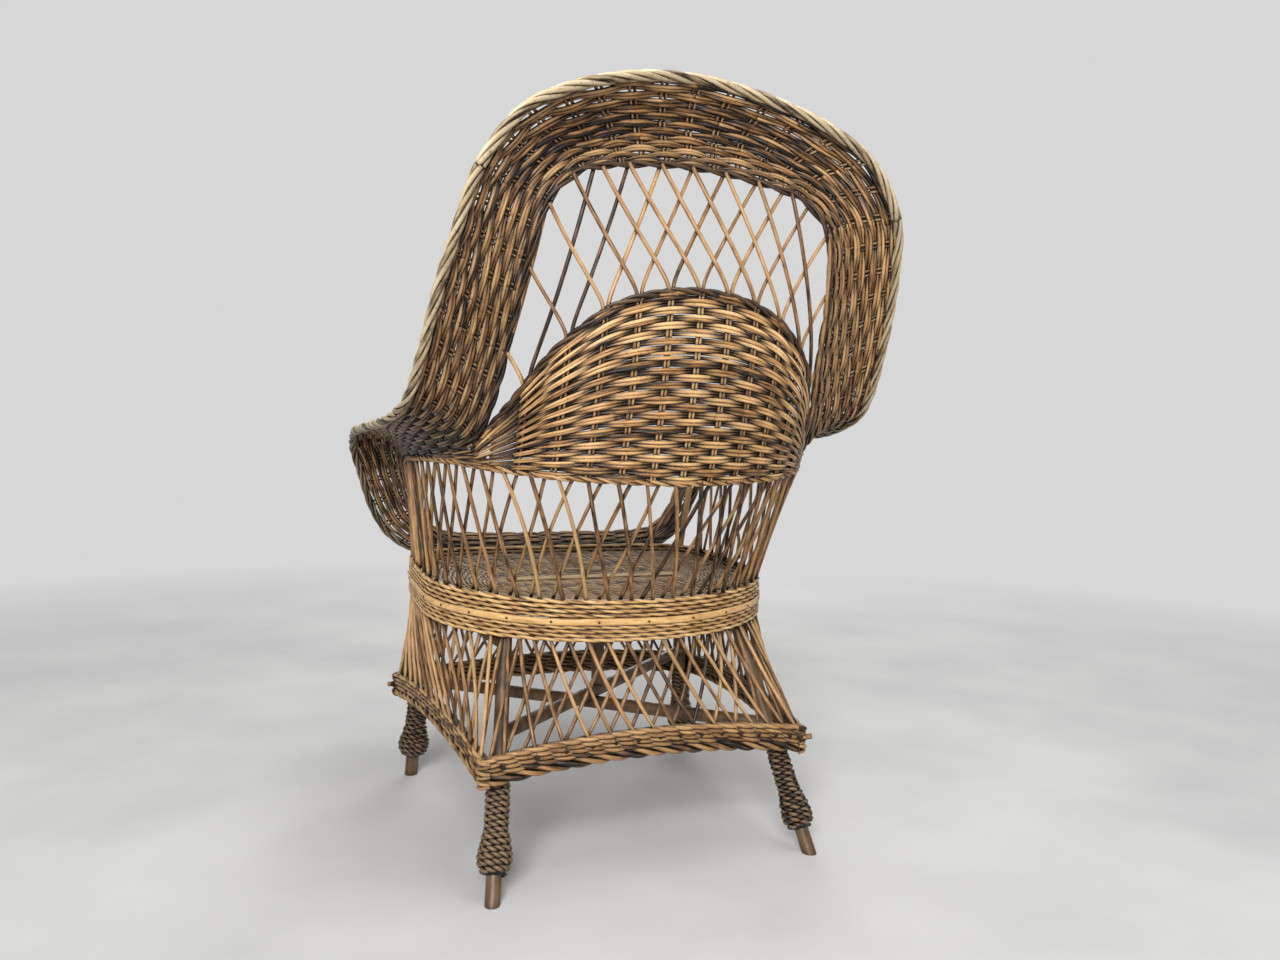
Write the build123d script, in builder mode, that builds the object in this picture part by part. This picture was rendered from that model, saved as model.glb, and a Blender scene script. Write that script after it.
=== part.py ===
from build123d import *
import math
import os

os.makedirs("parts", exist_ok=True)

# Winged wicker armchair, millimetres. +Z up, front faces -Y, the sitter's left is +X.
# Body shapes are laid out about the seat centre. SHIFT_Y brings the box centre to y = 0.

# ---- driving dimensions ------------------------------------------------------------
SHIFT_Y = -60.4            # seat centre to box centre

FRONT_STICK_R = 11.5       # front leg stick radius
REAR_STICK_R = 10.5        # rear leg stick radius
LEG_TOP_Z = 376.0          # leg tops, just under the seat panel
REAR_FOOT = (245.0, 334.0)
REAR_TOP = (186.0, 152.0)
FRONT_FOOT = (274.0, -203.0)
FRONT_TOP = (248.0, -178.0)
WRAP_TOP_Z = 140.0         # rope wrap, measured along the leg from the floor
WRAP_FOOT_Z = 34.0
WRAP_BULB_Z = 60.0
WRAP_T = 6.5               # rope wall at the top
BULB_T = 14.0              # rope wall at the bulb

STRETCHER_Z = 188.0
STRETCHER_R = 10.5
POST_R = 10.5
RAIL_R = 10.0
RAIL_Z = 352.0

WAIST_A = 290.0            # waist half width
WAIST_REAR = 261.0         # waist half depth behind its centre
WAIST_FRONT = 231.0        # waist half depth before its centre
WAIST_Y = 3.0
REAR_POWER = 2.1           # roundness of the waist outline behind
FRONT_POWER = 6.0          # squareness of the waist outline in front
WAIST_TOP_Z = 400.0        # at the waist centre
WAIST_SLOPE = 0.057        # the seat falls toward the back
UPPER_WALE_H = 22.0
HOOP_H = 14.0
LOWER_WALE_H = 22.0
WALE_T = 12.0
HOOP_T = 5.0
SEAT_T = 13.0
SEAT_DROP = 6.0            # seat top below the rim of the waist band
NAIL_COUNT = 26
NAIL_R = 1.6
NAIL_HEAD_H = 1.0

ROD_R = 2.4                # lattice rods
LAYER = ROD_R + 0.9        # each crossing layer stands this far off the middle
END_INTO = 2.5             # a rod runs this far into a band before it is cut to the band's face
SCRAP = 60.0               # smallest piece kept after a cut, cubic mm
ROD_RUNS = 4               # straight runs that bend a rod round the body

SKIRT_REAR_X = 249.0
SKIRT_REAR_Y = 293.0
SKIRT_FRONT_X = 297.0
SKIRT_FRONT_Y = -226.0
SKIRT_Z = 143.0            # underside of the bottom braid at the corners
BRAID_H = 34.0
BRAID_T = 16.0
BRAID_ARCH = 20.0
SKIRT_RODS = 16            # rods of each layer on one side
SKIRT_SHIFT = 0.147        # sideways run of a skirt rod, share of a side

SIDE_RODS = 44             # rods of each layer from arm front round the back
SIDE_SHIFT = 1.7           # sideways run of a rod between seat and arm, in rod pitches
RING_H = 9.0

BACK_T = 9.0               # woven back panel
BACK_BULGE = 8.0
DOME_ROD_R = 4.0
BACK_PITCH = 37.0          # stake pitch of the back panel
UPPER_LEAN = 0.56          # sideways run of an upper rod for each unit of height
UPPER_LAYER = 3.6          # each upper layer stands this far off the middle
UPPER_SPREAD = 3.0         # half the distance between the two rods of a pair
UPPER_SHORTEST = 25.0

COLLAR_T = 9.0
BORDER_R = 8.0
COLLAR_START = 2.0         # woven strip from the middle of its inner rod
THROAT_R = 3.5
POST_FRONT_R = 6.0
CLEAR = 0.3

UPRIGHT = 1 / math.hypot(1, WAIST_SLOPE)   # thickness across the tilted seat per unit of height
FACE_GAP = 0.02            # between stacked faces

# Stations of the rolled collar on the +X side: inner edge, crown of the roll, outer edge.
COLLAR = [
    ((0, -236, 414), (0, -274, 434), (0, -312, 408)),
    ((120, -236, 414), (125, -274, 434), (128, -314, 407)),
    ((205, -234, 419), (212, -274, 440), (248, -318, 404)),
    ((242, -231, 436), (252, -276, 464), (300, -322, 428)),
    ((263, -229, 468), (274, -279, 493), (328, -322, 466)),
    ((275, -228, 515), (291, -280, 531), (347, -318, 510)),
    ((284, -225, 556), (308, -274, 579), (362, -305, 555)),
    ((291, -208, 580), (322, -245, 613), (378, -270, 600)),
    ((297, -150, 589), (333, -165, 627), (384, -180, 628)),
    ((302, -50, 592), (338, -50, 632), (383, -50, 634)),
    ((300, 60, 594), (336, 60, 634), (378, 60, 638)),
    ((290, 150, 598), (326, 155, 637), (371, 150, 643)),
    ((275, 215, 606), (312, 222, 646), (362, 225, 655)),
    ((261, 262, 622), (303, 270, 661), (355, 280, 675)),
    ((247, 305, 672), (294, 300, 700), (347, 325, 722)),
    ((235, 340, 750), (282, 338, 770), (334, 372, 803)),
    ((223, 380, 838), (269, 375, 860), (318, 410, 873)),
    ((204, 404, 915), (249, 398, 935), (298, 436, 940)),
    ((165, 404, 958), (200, 394, 990), (255, 444, 1005)),
    ((132, 400, 970), (155, 388, 1012), (200, 440, 1043)),
    ((95, 395, 978), (108, 380, 1032), (140, 428, 1070)),
    ((48, 390, 985), (55, 374, 1042), (70, 413, 1091)),
    ((0, 387, 988), (0, 371, 1046), (0, 404, 1100)),
]
# Arm-level ring, from the arm front to the middle of the back.
RING = [(288, -206, 578), (297, -100, 586), (303, 0, 588), (298, 100, 590),
        (277, 200, 588), (235, 278, 580), (160, 335, 571), (80, 364, 567), (0, 374, 565)]
# Upper edge of the woven back panel, from its side tip to the middle.
DOME = [(262, 250, 605), (254, 264, 619), (240, 295, 646), (222, 328, 676), (205, 357, 706),
        (185, 381, 735), (152, 402, 767), (116, 413, 793), (60, 421, 812), (0, 423, 818)]


# ---- helpers ------------------------------------------------------------------------
def place(point):
    return Vector(point[0], point[1] + SHIFT_Y, point[2])


def flip(point):
    return (-point[0], point[1], point[2])


def lerp(a, b, t):
    return tuple(p + (q - p) * t for p, q in zip(a, b))


def save(builder, name):
    builder.part.label = name
    export_step(builder.part, f"parts/{name}.step")


def save_mirrored(builder, name):
    with BuildPart() as twin:
        add(mirror(builder.part, about=Plane.YZ))
    save(twin, name)


def cut_by(builder, *tools):
    # The same piece, coped to the faces of the pieces that it meets.
    with BuildPart() as whole:
        add(builder.part)
        for tool in tools:
            add(tool.part, mode=Mode.SUBTRACT)
    with BuildPart() as trimmed:
        add([solid for solid in whole.part.solids() if solid.volume > SCRAP])
    return trimmed


def stick(start, end, radius, gap=0.0):
    # A straight round rod between two points, made inside the builder that is open.
    a = place(start)
    b = place(end)
    direction = (b - a).normalized()
    base = Plane(origin=a + direction * gap, z_dir=direction)
    with BuildSketch(base) as disc:
        Circle(radius)
    extrude(disc.sketch, amount=(b - a).length - 2 * gap)


def rod_along(points, radius):
    # A round rod along straight runs joined by tangent arcs.
    path_points = [place(p) for p in points]
    bends = []
    for before, here, after in zip(path_points, path_points[1:], path_points[2:]):
        run_in = here - before
        run_out = after - here
        turn = math.radians(run_in.get_angle(run_out))
        shorter = min(run_in.length, run_out.length)
        bends.append(0.45 * shorter / math.tan(max(turn, 0.01) / 2))
    with BuildLine() as path:
        FilletPolyline(*path_points, radius=bends)
    with BuildSketch(Plane(origin=path.line @ 0, z_dir=path.line % 0)) as disc:
        Circle(radius)
    sweep(disc.sketch, path=path.line)


def along(points, t):
    # The point at share t of the length of a chain of points.
    lengths = [math.dist(a, b) for a, b in zip(points, points[1:])]
    left = t * sum(lengths)
    for a, b, length in zip(points, points[1:], lengths):
        if left <= length:
            return lerp(a, b, left / length)
        left -= length
    return points[-1]


def at_x(points, x):
    # The point of a chain whose x falls steadily, at the given x.
    for a, b in zip(points, points[1:]):
        if b[0] <= x <= a[0]:
            return lerp(a, b, (a[0] - x) / (a[0] - b[0]))
    return points[0] if x > points[0][0] else points[-1]


def waist_point(angle, inset=0.0, height=0.0):
    # A point of the waist outline: rounded behind, squarer at the front.
    rear = math.sin(angle) >= 0
    power = 2 / REAR_POWER if rear else 2 / FRONT_POWER
    depth = (WAIST_REAR if rear else WAIST_FRONT) - inset
    cos_a = math.cos(angle)
    sin_a = math.sin(angle)
    x = math.copysign(abs(cos_a) ** power, cos_a) * (WAIST_A - inset)
    y = WAIST_Y + math.copysign(abs(sin_a) ** power, sin_a) * depth
    return (x, y, WAIST_TOP_Z + height - WAIST_SLOPE * (y - WAIST_Y))


def waist_loop(inset, steps=36):
    # The waist outline as flat plan points on the tilted seat plane.
    loop = []
    for i in range(steps):
        x, y, _ = waist_point(2 * math.pi * i / steps, inset)
        loop.append((x, (y - WAIST_Y) * math.hypot(1, WAIST_SLOPE)))
    return loop


def seat_plane(height):
    # The tilted plane of the seat, at a height over the rim of the waist band.
    origin = place((0, WAIST_Y, WAIST_TOP_Z + height))
    return Plane(origin=origin, x_dir=(1, 0, 0), z_dir=(0, WAIST_SLOPE, 1))


def band(name, top, height, outer, inner):
    # A closed woven band that follows the waist outline.
    with BuildPart() as ring:
        with BuildSketch(seat_plane(top - height)):
            with BuildLine():
                Spline(*waist_loop(outer), periodic=True)
            make_face()
            with BuildLine():
                Spline(*waist_loop(inner), periodic=True)
            make_face(mode=Mode.SUBTRACT)
        extrude(amount=height * UPRIGHT - FACE_GAP)
    save(ring, name)
    return ring


# ---- legs, rope wraps, stretchers, rails ----------------------------------------------
def leg_point(foot, top, z):
    t = z / LEG_TOP_Z
    return (foot[0] + (top[0] - foot[0]) * t, foot[1] + (top[1] - foot[1]) * t, z)


def make_leg(foot, top, radius):
    # Round stick, cut level at the floor and under the seat.
    low = leg_point(foot, top, -30)
    high = leg_point(foot, top, LEG_TOP_Z + 40)
    with BuildPart() as leg:
        stick(low, high, radius)
        with Locations((0, 0, -100)):
            Box(2000, 2000, 200, mode=Mode.SUBTRACT)
        with BuildSketch(seat_plane(-SEAT_DROP - SEAT_T - CLEAR)):
            Rectangle(2000, 2000)
        extrude(amount=200, mode=Mode.SUBTRACT)
    return leg


def make_wrap(foot, top, radius, bulb):
    # Sleeve of rope coils: nearly even at the top, swelling to a bulb above the foot.
    base = place(leg_point(foot, top, 0))
    axis_dir = (place(leg_point(foot, top, 100)) - base).normalized()
    side = Vector(1, 0, 0).cross(axis_dir).normalized()
    section = Plane(origin=base, x_dir=side, z_dir=side.cross(axis_dir))
    with BuildPart() as wrap:
        with BuildSketch(section):
            with BuildLine():
                Polyline((radius, WRAP_TOP_Z), (radius, WRAP_FOOT_Z), (radius + 3, WRAP_FOOT_Z))
                Spline(
                    (radius + 3, WRAP_FOOT_Z),
                    (radius + bulb * 0.9, WRAP_FOOT_Z + 14),
                    (radius + bulb, WRAP_BULB_Z),
                    (radius + WRAP_T + 1.5, WRAP_BULB_Z + 34),
                    (radius + WRAP_T, WRAP_TOP_Z),
                )
                Line((radius + WRAP_T, WRAP_TOP_Z), (radius, WRAP_TOP_Z))
            make_face()
        revolve(axis=Axis(base, axis_dir))
    return wrap


leg_rear_left = make_leg(REAR_FOOT, REAR_TOP, REAR_STICK_R)
leg_front_left = make_leg(FRONT_FOOT, FRONT_TOP, FRONT_STICK_R)
save(leg_rear_left, "leg_rear_left")
save(leg_front_left, "leg_front_left")
with BuildPart() as leg_rear_right:
    add(mirror(leg_rear_left.part, about=Plane.YZ))
save(leg_rear_right, "leg_rear_right")
with BuildPart() as leg_front_right:
    add(mirror(leg_front_left.part, about=Plane.YZ))
save(leg_front_right, "leg_front_right")

wrap_rear = make_wrap(REAR_FOOT, REAR_TOP, REAR_STICK_R, BULB_T)
save(wrap_rear, "leg_wrap_rear_left")
save_mirrored(wrap_rear, "leg_wrap_rear_right")
wrap_front = make_wrap(FRONT_FOOT, FRONT_TOP, FRONT_STICK_R, BULB_T + 3)
save(wrap_front, "leg_wrap_front_left")
save_mirrored(wrap_front, "leg_wrap_front_right")


def crossbar(start, end, legs, name):
    # A round bar coped to the legs at both ends.
    with BuildPart() as bar:
        stick(start, end, STRETCHER_R)
        for leg in legs:
            add(leg.part, mode=Mode.SUBTRACT)
    bar_solids = bar.part.solids().sort_by(SortBy.VOLUME)
    with BuildPart() as kept:
        add(bar_solids[-1])
    save(kept, name)
    return kept


BAR_STEP = STRETCHER_R + CLEAR / 2
upper_start = leg_point(REAR_FOOT, REAR_TOP, STRETCHER_Z + BAR_STEP)
upper_end = flip(leg_point(FRONT_FOOT, FRONT_TOP, STRETCHER_Z + BAR_STEP))
lower_start = flip(leg_point(REAR_FOOT, REAR_TOP, STRETCHER_Z - BAR_STEP))
lower_end = leg_point(FRONT_FOOT, FRONT_TOP, STRETCHER_Z - BAR_STEP)
crossbar(upper_start, upper_end, (leg_rear_left, leg_front_right), "stretcher_upper")
crossbar(lower_start, lower_end, (leg_rear_right, leg_front_left), "stretcher_lower")

share = upper_start[0] / (upper_start[0] - upper_end[0])
cross_y = upper_start[1] + (upper_end[1] - upper_start[1]) * share
post_low = STRETCHER_Z + BAR_STEP + STRETCHER_R + CLEAR
post_high = WAIST_TOP_Z - SEAT_DROP - SEAT_T - CLEAR - WAIST_SLOPE * (cross_y + POST_R)
with BuildPart() as centre_post:
    stick((0, cross_y, post_low), (0, cross_y, post_high), POST_R)
save(centre_post, "centre_post")


def seat_rail(start, end, legs, name):
    with BuildPart() as rail:
        stick(start, end, RAIL_R)
        for leg in legs:
            add(leg.part, mode=Mode.SUBTRACT)
    rail_solids = rail.part.solids().sort_by(SortBy.VOLUME)
    with BuildPart() as kept:
        add(rail_solids[-1])
    save(kept, name)
    return kept


rear_rail_z = RAIL_Z - 12
front_rail_z = RAIL_Z + 12
rear_left_at = leg_point(REAR_FOOT, REAR_TOP, rear_rail_z)
front_left_at = leg_point(FRONT_FOOT, FRONT_TOP, front_rail_z)
side_rail_drop = 2 * RAIL_R + 4
side_rear_at = leg_point(REAR_FOOT, REAR_TOP, rear_rail_z - side_rail_drop)
side_front_at = leg_point(FRONT_FOOT, FRONT_TOP, front_rail_z - side_rail_drop)
seat_rail(rear_left_at, flip(rear_left_at), (leg_rear_left, leg_rear_right), "seat_rail_rear")
seat_rail(front_left_at, flip(front_left_at), (leg_front_left, leg_front_right), "seat_rail_front")
side_rail = seat_rail(side_rear_at, side_front_at, (leg_rear_left, leg_front_left), "seat_rail_left")
save_mirrored(side_rail, "seat_rail_right")

# ---- seat and waist band ----------------------------------------------------------------
with BuildPart() as seat_panel:
    with BuildSketch(seat_plane(-SEAT_DROP - SEAT_T)):
        with BuildLine():
            Spline(*waist_loop(WALE_T / 2 + CLEAR), periodic=True)
        make_face()
    extrude(amount=SEAT_T)
save(seat_panel, "seat_panel")

upper_wale = band("waist_upper_wale", 0, UPPER_WALE_H, -WALE_T / 2, WALE_T / 2)
hoop_top = -UPPER_WALE_H
lower_wale = band("waist_lower_wale", hoop_top - HOOP_H, LOWER_WALE_H, -WALE_T / 2, WALE_T / 2)

with BuildPart() as waist_hoop:
    with BuildSketch(seat_plane(hoop_top - HOOP_H)):
        with BuildLine():
            Spline(*waist_loop(-HOOP_T), periodic=True)
        make_face()
        with BuildLine():
            Spline(*waist_loop(0), periodic=True)
        make_face(mode=Mode.SUBTRACT)
    extrude(amount=HOOP_H * UPRIGHT - FACE_GAP)
save(waist_hoop, "waist_hoop")

with BuildPart() as waist_nails:
    for i in range(NAIL_COUNT):
        turn = 2 * math.pi * (i + 0.5) / NAIL_COUNT
        head_at = waist_point(turn, -HOOP_T, hoop_top - HOOP_H / 2)
        ahead = waist_point(turn + 0.01, -HOOP_T, hoop_top - HOOP_H / 2)
        behind = waist_point(turn - 0.01, -HOOP_T, hoop_top - HOOP_H / 2)
        run = (place(ahead) - place(behind)).normalized()
        outward = run.cross(Vector(0, 0, 1)).normalized()
        with BuildSketch(Plane(origin=place(head_at), z_dir=outward)):
            Circle(NAIL_R)
        extrude(amount=NAIL_HEAD_H)
        with BuildSketch(Plane(origin=place(head_at), z_dir=outward * -1)):
            Circle(NAIL_R)
        extrude(amount=NAIL_HEAD_H)
    add(waist_hoop.part, mode=Mode.SUBTRACT)
save(waist_nails, "waist_nails")

# ---- skirt: bottom braid and lattice ------------------------------------------------------
REAR_CORNER_ANGLE = math.radians(47)
FRONT_CORNER_ANGLE = math.radians(-45)
SKIRT_TOP = hoop_top - HOOP_H - LOWER_WALE_H
corner_rear = (SKIRT_REAR_X, SKIRT_REAR_Y, SKIRT_Z)
corner_front = (SKIRT_FRONT_X, SKIRT_FRONT_Y, SKIRT_Z)
SIDES = {
    "rear": (flip(corner_rear), corner_rear, math.pi - REAR_CORNER_ANGLE, REAR_CORNER_ANGLE),
    "left": (corner_rear, corner_front, REAR_CORNER_ANGLE, FRONT_CORNER_ANGLE),
    "front": (corner_front, flip(corner_front), FRONT_CORNER_ANGLE,
              -math.pi - FRONT_CORNER_ANGLE),
    "right": (flip(corner_front), flip(corner_rear), math.pi - FRONT_CORNER_ANGLE,
              math.pi - REAR_CORNER_ANGLE),
}


def braid_height(t):
    # The braid lifts in an arch between two corners.
    return BRAID_ARCH * (1 - (2 * t - 1) ** 2)


def side_braid(start, end, name):
    # One arched side of the bottom braid, mitred at its corners.
    a = place(start)
    b = place(end)
    run = b - a
    length = run.length
    along_dir = run.normalized()
    face = Plane(origin=a, x_dir=along_dir, z_dir=along_dir.cross(Vector(0, 0, 1)))
    half = BRAID_T / 2
    with BuildPart() as braid:
        with BuildSketch(face.offset(-half)):
            with BuildLine():
                ThreePointArc((0, 0), (length / 2, BRAID_ARCH), (length, 0))
                Line((length, 0), (length, BRAID_H))
                ThreePointArc((length, BRAID_H), (length / 2, BRAID_H + BRAID_ARCH), (0, BRAID_H))
                Line((0, BRAID_H), (0, 0))
            make_face()
        extrude(amount=BRAID_T)
        for at, into in ((a, along_dir), (b, along_dir * -1)):
            centre = Vector(0, (SKIRT_REAR_Y + SKIRT_FRONT_Y) / 2 + SHIFT_Y, at.Z)
            bisector = (centre - at).normalized()
            cut_dir = bisector.cross(Vector(0, 0, 1)).normalized()
            if cut_dir.dot(into) > 0:
                cut_dir = cut_dir * -1
            with BuildSketch(Plane(origin=at - cut_dir * CLEAR / 2, z_dir=cut_dir)):
                Rectangle(400, 400)
            extrude(amount=60, mode=Mode.SUBTRACT)
    save(braid, name)
    return braid


def woven_rod(surface, start_u, shift, offset):
    # A rod that leans across a woven surface, a fixed distance off its middle.
    height = abs(surface(start_u, 1, 0)[2] - surface(start_u, 0, 0)[2])
    margin = -END_INTO / height
    points = []
    for i in range(ROD_RUNS + 1):
        h = margin + (1 - 2 * margin) * i / ROD_RUNS
        points.append(surface(start_u + shift * (h - 0.5), h, offset))
    rod_along(points, ROD_R)


def skirt_rods(start, end, angle_a, angle_b, braid, name):
    # Two crossing layers of rods between the waist band and the bottom braid.
    run = Vector(end[0] - start[0], end[1] - start[1], 0).normalized()
    out = run.cross(Vector(0, 0, 1))
    middle = lerp(start, end, 0.5)
    if out.dot(Vector(middle[0], middle[1] - WAIST_Y, 0)) < 0:
        out = out * -1

    def surface(u, h, offset):
        top = waist_point(angle_a + (angle_b - angle_a) * u, -offset, SKIRT_TOP)
        low = lerp(start, end, u)
        foot = (low[0] + out.X * offset, low[1] + out.Y * offset,
                SKIRT_Z + BRAID_H + braid_height(u))
        return lerp(top, foot, h)

    with BuildPart() as rods:
        for offset, lean in ((LAYER, -1), (-LAYER, 1)):
            for i in range(SKIRT_RODS):
                u = (i + 0.5) / SKIRT_RODS
                ease = 1 - (2 * u - 1) ** 4
                woven_rod(surface, u, lean * SKIRT_SHIFT * ease, offset)
    save(cut_by(rods, lower_wale, braid), name)


for side, (start, end, angle_a, angle_b) in SIDES.items():
    braid = side_braid(start, end, f"skirt_braid_{side}")
    skirt_rods(start, end, angle_a, angle_b, braid, f"skirt_lattice_{side}")

# ---- lattice between seat and arm level ------------------------------------------------------
ring_chain = RING + [flip(p) for p in reversed(RING[:-1])]
POST_ANGLE = math.radians(-43)


def side_surface(u, h, offset):
    # The body wall from the waist (h = 0) to the arm-level ring (h = 1).
    low = waist_point(POST_ANGLE + (math.pi - 2 * POST_ANGLE) * u, -offset, 0)
    on_ring = along(ring_chain, u)
    ahead = along(ring_chain, min(u + 0.02, 1))
    behind = along(ring_chain, max(u - 0.02, 0))
    out = (Vector(*ahead) - Vector(*behind)).cross(Vector(0, 0, 1)).normalized()
    top = (on_ring[0] + out.X * offset, on_ring[1] + out.Y * offset, on_ring[2] - RING_H / 2)
    return lerp(low, top, h)


def side_rods(first, last, offset, lean, name):
    with BuildPart() as rods:
        for i in range(first, last):
            u = (i + 0.5) / SIDE_RODS
            ease = 1 - (2 * u - 1) ** 8
            woven_rod(side_surface, u, lean * SIDE_SHIFT / SIDE_RODS * ease, offset)
    save(cut_by(rods, upper_wale, arm_ring), name)


with BuildPart() as arm_ring:
    rod_along(ring_chain, RING_H / 2)
save(arm_ring, "arm_ring")

third = SIDE_RODS // 3
for part_name, first, last in (("left", 1, third), ("rear", third, SIDE_RODS - third),
                               ("right", SIDE_RODS - third, SIDE_RODS - 1)):
    side_rods(first, last, LAYER, -1, f"side_lattice_outer_{part_name}")
    side_rods(first, last, -LAYER, 1, f"side_lattice_inner_{part_name}")

front_post_low = waist_point(POST_ANGLE, 0, CLEAR)
front_post_top = (RING[0][0], RING[0][1], RING[0][2] - RING_H / 2 - CLEAR)
with BuildPart() as front_post_blank:
    stick(front_post_low, front_post_top, POST_FRONT_R, -END_INTO)
front_post = cut_by(front_post_blank, upper_wale, arm_ring)
save(front_post, "front_post_left")
save_mirrored(front_post, "front_post_right")

# ---- woven back panel, its top rod and the upper lattice -----------------------------------------
BACK_TIP_X = 250.0

back_sections = [-BACK_TIP_X, -222, -187, -116, -60, 0, 60, 116, 187, 222, BACK_TIP_X]
with BuildPart() as back_panel:
    for x in back_sections:
        low = at_x(RING, abs(x))
        top = at_x(DOME, abs(x))
        low_z = low[2]
        top_z = top[2]
        mid_y = (low[1] + top[1]) / 2 + BACK_BULGE * (top_z - low_z) / 240
        mid_z = (low_z + top_z) / 2
        section = Plane(origin=(x, SHIFT_Y, 0), x_dir=(0, 1, 0), z_dir=(1, 0, 0))
        half = BACK_T / 2
        with BuildSketch(section):
            with BuildLine():
                ThreePointArc((low[1] - half, low_z), (mid_y - half, mid_z), (top[1] - half, top_z))
                Line((top[1] - half, top_z), (top[1] + half, top_z))
                ThreePointArc((top[1] + half, top_z), (mid_y + half, mid_z), (low[1] + half, low_z))
                Line((low[1] + half, low_z), (low[1] - half, low_z))
            make_face()
    loft(ruled=True)

dome_chain = DOME + [flip(p) for p in reversed(DOME[:-1])]
with BuildPart() as dome_rod:
    rod_along(dome_chain, DOME_ROD_R)
save(dome_rod, "back_top_rod")
save(cut_by(back_panel, arm_ring, dome_rod), "back_panel")

LAST = len(COLLAR) - 1
throat_back = [station[0] for station in COLLAR[13:]]
with BuildPart() as throat_rod:
    rod_along(throat_back + [flip(p) for p in reversed(throat_back[:-1])], THROAT_R)
save(throat_rod, "throat_rod")


def back_y(x, z):
    # The back leans and curves between its woven panel and the collar.
    low = at_x(DOME, abs(x))
    top = at_x(throat_back, abs(x))
    t = (z - low[2]) / (top[2] - low[2])
    return low[1] + (top[1] - low[1]) * min(max(t, 0), 1)


def back_point(x, z, offset):
    # A point of the back surface, moved off it along its level normal.
    slope = (back_y(x + 2, z) - back_y(x - 2, z)) / 4
    size = math.hypot(1, slope)
    return (x - offset * slope / size, back_y(x, z) + offset / size, z)


def upper_rods(offset, lean, *crossed):
    # One leaning layer of rods from the back panel up to the collar.
    count = int(BACK_TIP_X / BACK_PITCH)
    with BuildPart() as rods:
        for k in range(-count, count + 1):
            x = k * BACK_PITCH + lean * UPPER_SPREAD
            dome_z = at_x(DOME, abs(x))[2]
            rise = 1
            while dome_z + rise < at_x(throat_back, abs(x + lean * UPPER_LEAN * rise))[2]:
                rise += 1
            if rise < UPPER_SHORTEST:
                continue
            low = back_point(x, dome_z, offset)
            top = back_point(x + lean * UPPER_LEAN * rise, dome_z + rise, offset)
            stick(low, top, ROD_R)
    return cut_by(rods, dome_rod, throat_rod, *crossed)


upper_outer = upper_rods(UPPER_LAYER, 1)
save(upper_outer, "upper_lattice_outer")
save(upper_rods(-UPPER_LAYER, -1, upper_outer), "upper_lattice_inner")


# ---- rolled collar: woven panels and braided border ---------------------------------------------------
def edge_rod(edge, first, last, radius, closed=False):
    # A rod along the inner (0) or outer (2) edge of the collar.
    points = [COLLAR[i][edge] for i in range(first, last + 1)]
    if closed:
        points = points + [flip(p) for p in reversed(points[:-1])]
    with BuildPart() as rod:
        rod_along(points, radius)
    return rod


def mirrored(builder):
    with BuildPart() as twin:
        add(mirror(builder.part, about=Plane.YZ))
    return twin


def collar_panel(stations):
    # A woven strip that rolls from the inner edge over its crown to the braided border.
    with BuildPart() as panel:
        for i in stations:
            inner, crown, outer = COLLAR[i]
            before = COLLAR[i - 1][1] if i > 0 else flip(COLLAR[1][1])
            after = COLLAR[i + 1][1] if i < LAST else flip(COLLAR[-2][1])
            tangent = (Vector(*after) - Vector(*before)).normalized()
            inner_v = place(inner)
            across = (place(outer) - inner_v).normalized()
            normal = across.cross(tangent).normalized()
            section = Plane(origin=inner_v, x_dir=across, z_dir=normal.cross(across) * -1)
            end_x = (place(outer) - inner_v).length
            local = section.to_local_coords(place(crown))
            half = COLLAR_T / 2
            crown_x = min(max(local.X, end_x * 0.25), end_x * 0.75)
            with BuildSketch(section):
                with BuildLine():
                    ThreePointArc((COLLAR_START, -half), (crown_x, local.Y - half), (end_x, -half))
                    Line((end_x, -half), (end_x, half))
                    ThreePointArc((end_x, half), (crown_x, local.Y + half), (COLLAR_START, half))
                    Line((COLLAR_START, half), (COLLAR_START, -half))
                make_face()
        loft(ruled=True)
    return panel


def both_halves(panel):
    with BuildPart() as whole:
        add(panel.part)
        mirror(about=Plane.YZ)
    return whole


CORNER = 2                 # station where the lip meets the arm front
ELBOW = 7                  # arm front to arm
ROOT = 12                  # arm to wing
SHOULDER = 17              # wing to hood
border_lip = both_halves(edge_rod(2, 0, CORNER, BORDER_R))
border_front = cut_by(edge_rod(2, CORNER, ELBOW, BORDER_R), border_lip)
border_arm = cut_by(edge_rod(2, ELBOW, ROOT, BORDER_R), border_front)
border_wing = cut_by(edge_rod(2, ROOT, SHOULDER, BORDER_R), border_arm)
border_hood = cut_by(edge_rod(2, SHOULDER, LAST, BORDER_R, True), border_wing, mirrored(border_wing))
save(border_lip, "border_lip")
save(border_front, "border_arm_front_left")
save_mirrored(border_front, "border_arm_front_right")
save(border_arm, "border_arm_left")
save_mirrored(border_arm, "border_arm_right")
save(border_wing, "border_wing_left")
save_mirrored(border_wing, "border_wing_right")
save(border_hood, "border_hood")

lip_tools = (border_lip, border_front, mirrored(border_front), upper_wale)
save(cut_by(both_halves(collar_panel([0, 1, 2])), *lip_tools), "seat_lip")
front_tools = (border_lip, border_front, border_arm, arm_ring, front_post, upper_wale)
arm_front = cut_by(collar_panel([2, 3, 4, 5, 6, 7]), *front_tools)
save(arm_front, "arm_front_left")
save_mirrored(arm_front, "arm_front_right")
arm = cut_by(collar_panel([7, 8, 9, 10, 11, 12]), border_front, border_arm, border_wing, arm_ring)
save(arm, "arm_left")
save_mirrored(arm, "arm_right")
wing_tools = (border_arm, border_wing, border_hood, arm_ring, throat_rod, dome_rod)
wing = cut_by(collar_panel([12, 13, 14, 15, 16, 17]), *wing_tools)
save(wing, "wing_left")
save_mirrored(wing, "wing_right")
hood = both_halves(collar_panel([22, 21, 20, 19, 18, 17]))
save(cut_by(hood, border_wing, mirrored(border_wing), border_hood, throat_rod), "hood")
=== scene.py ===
import math

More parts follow.
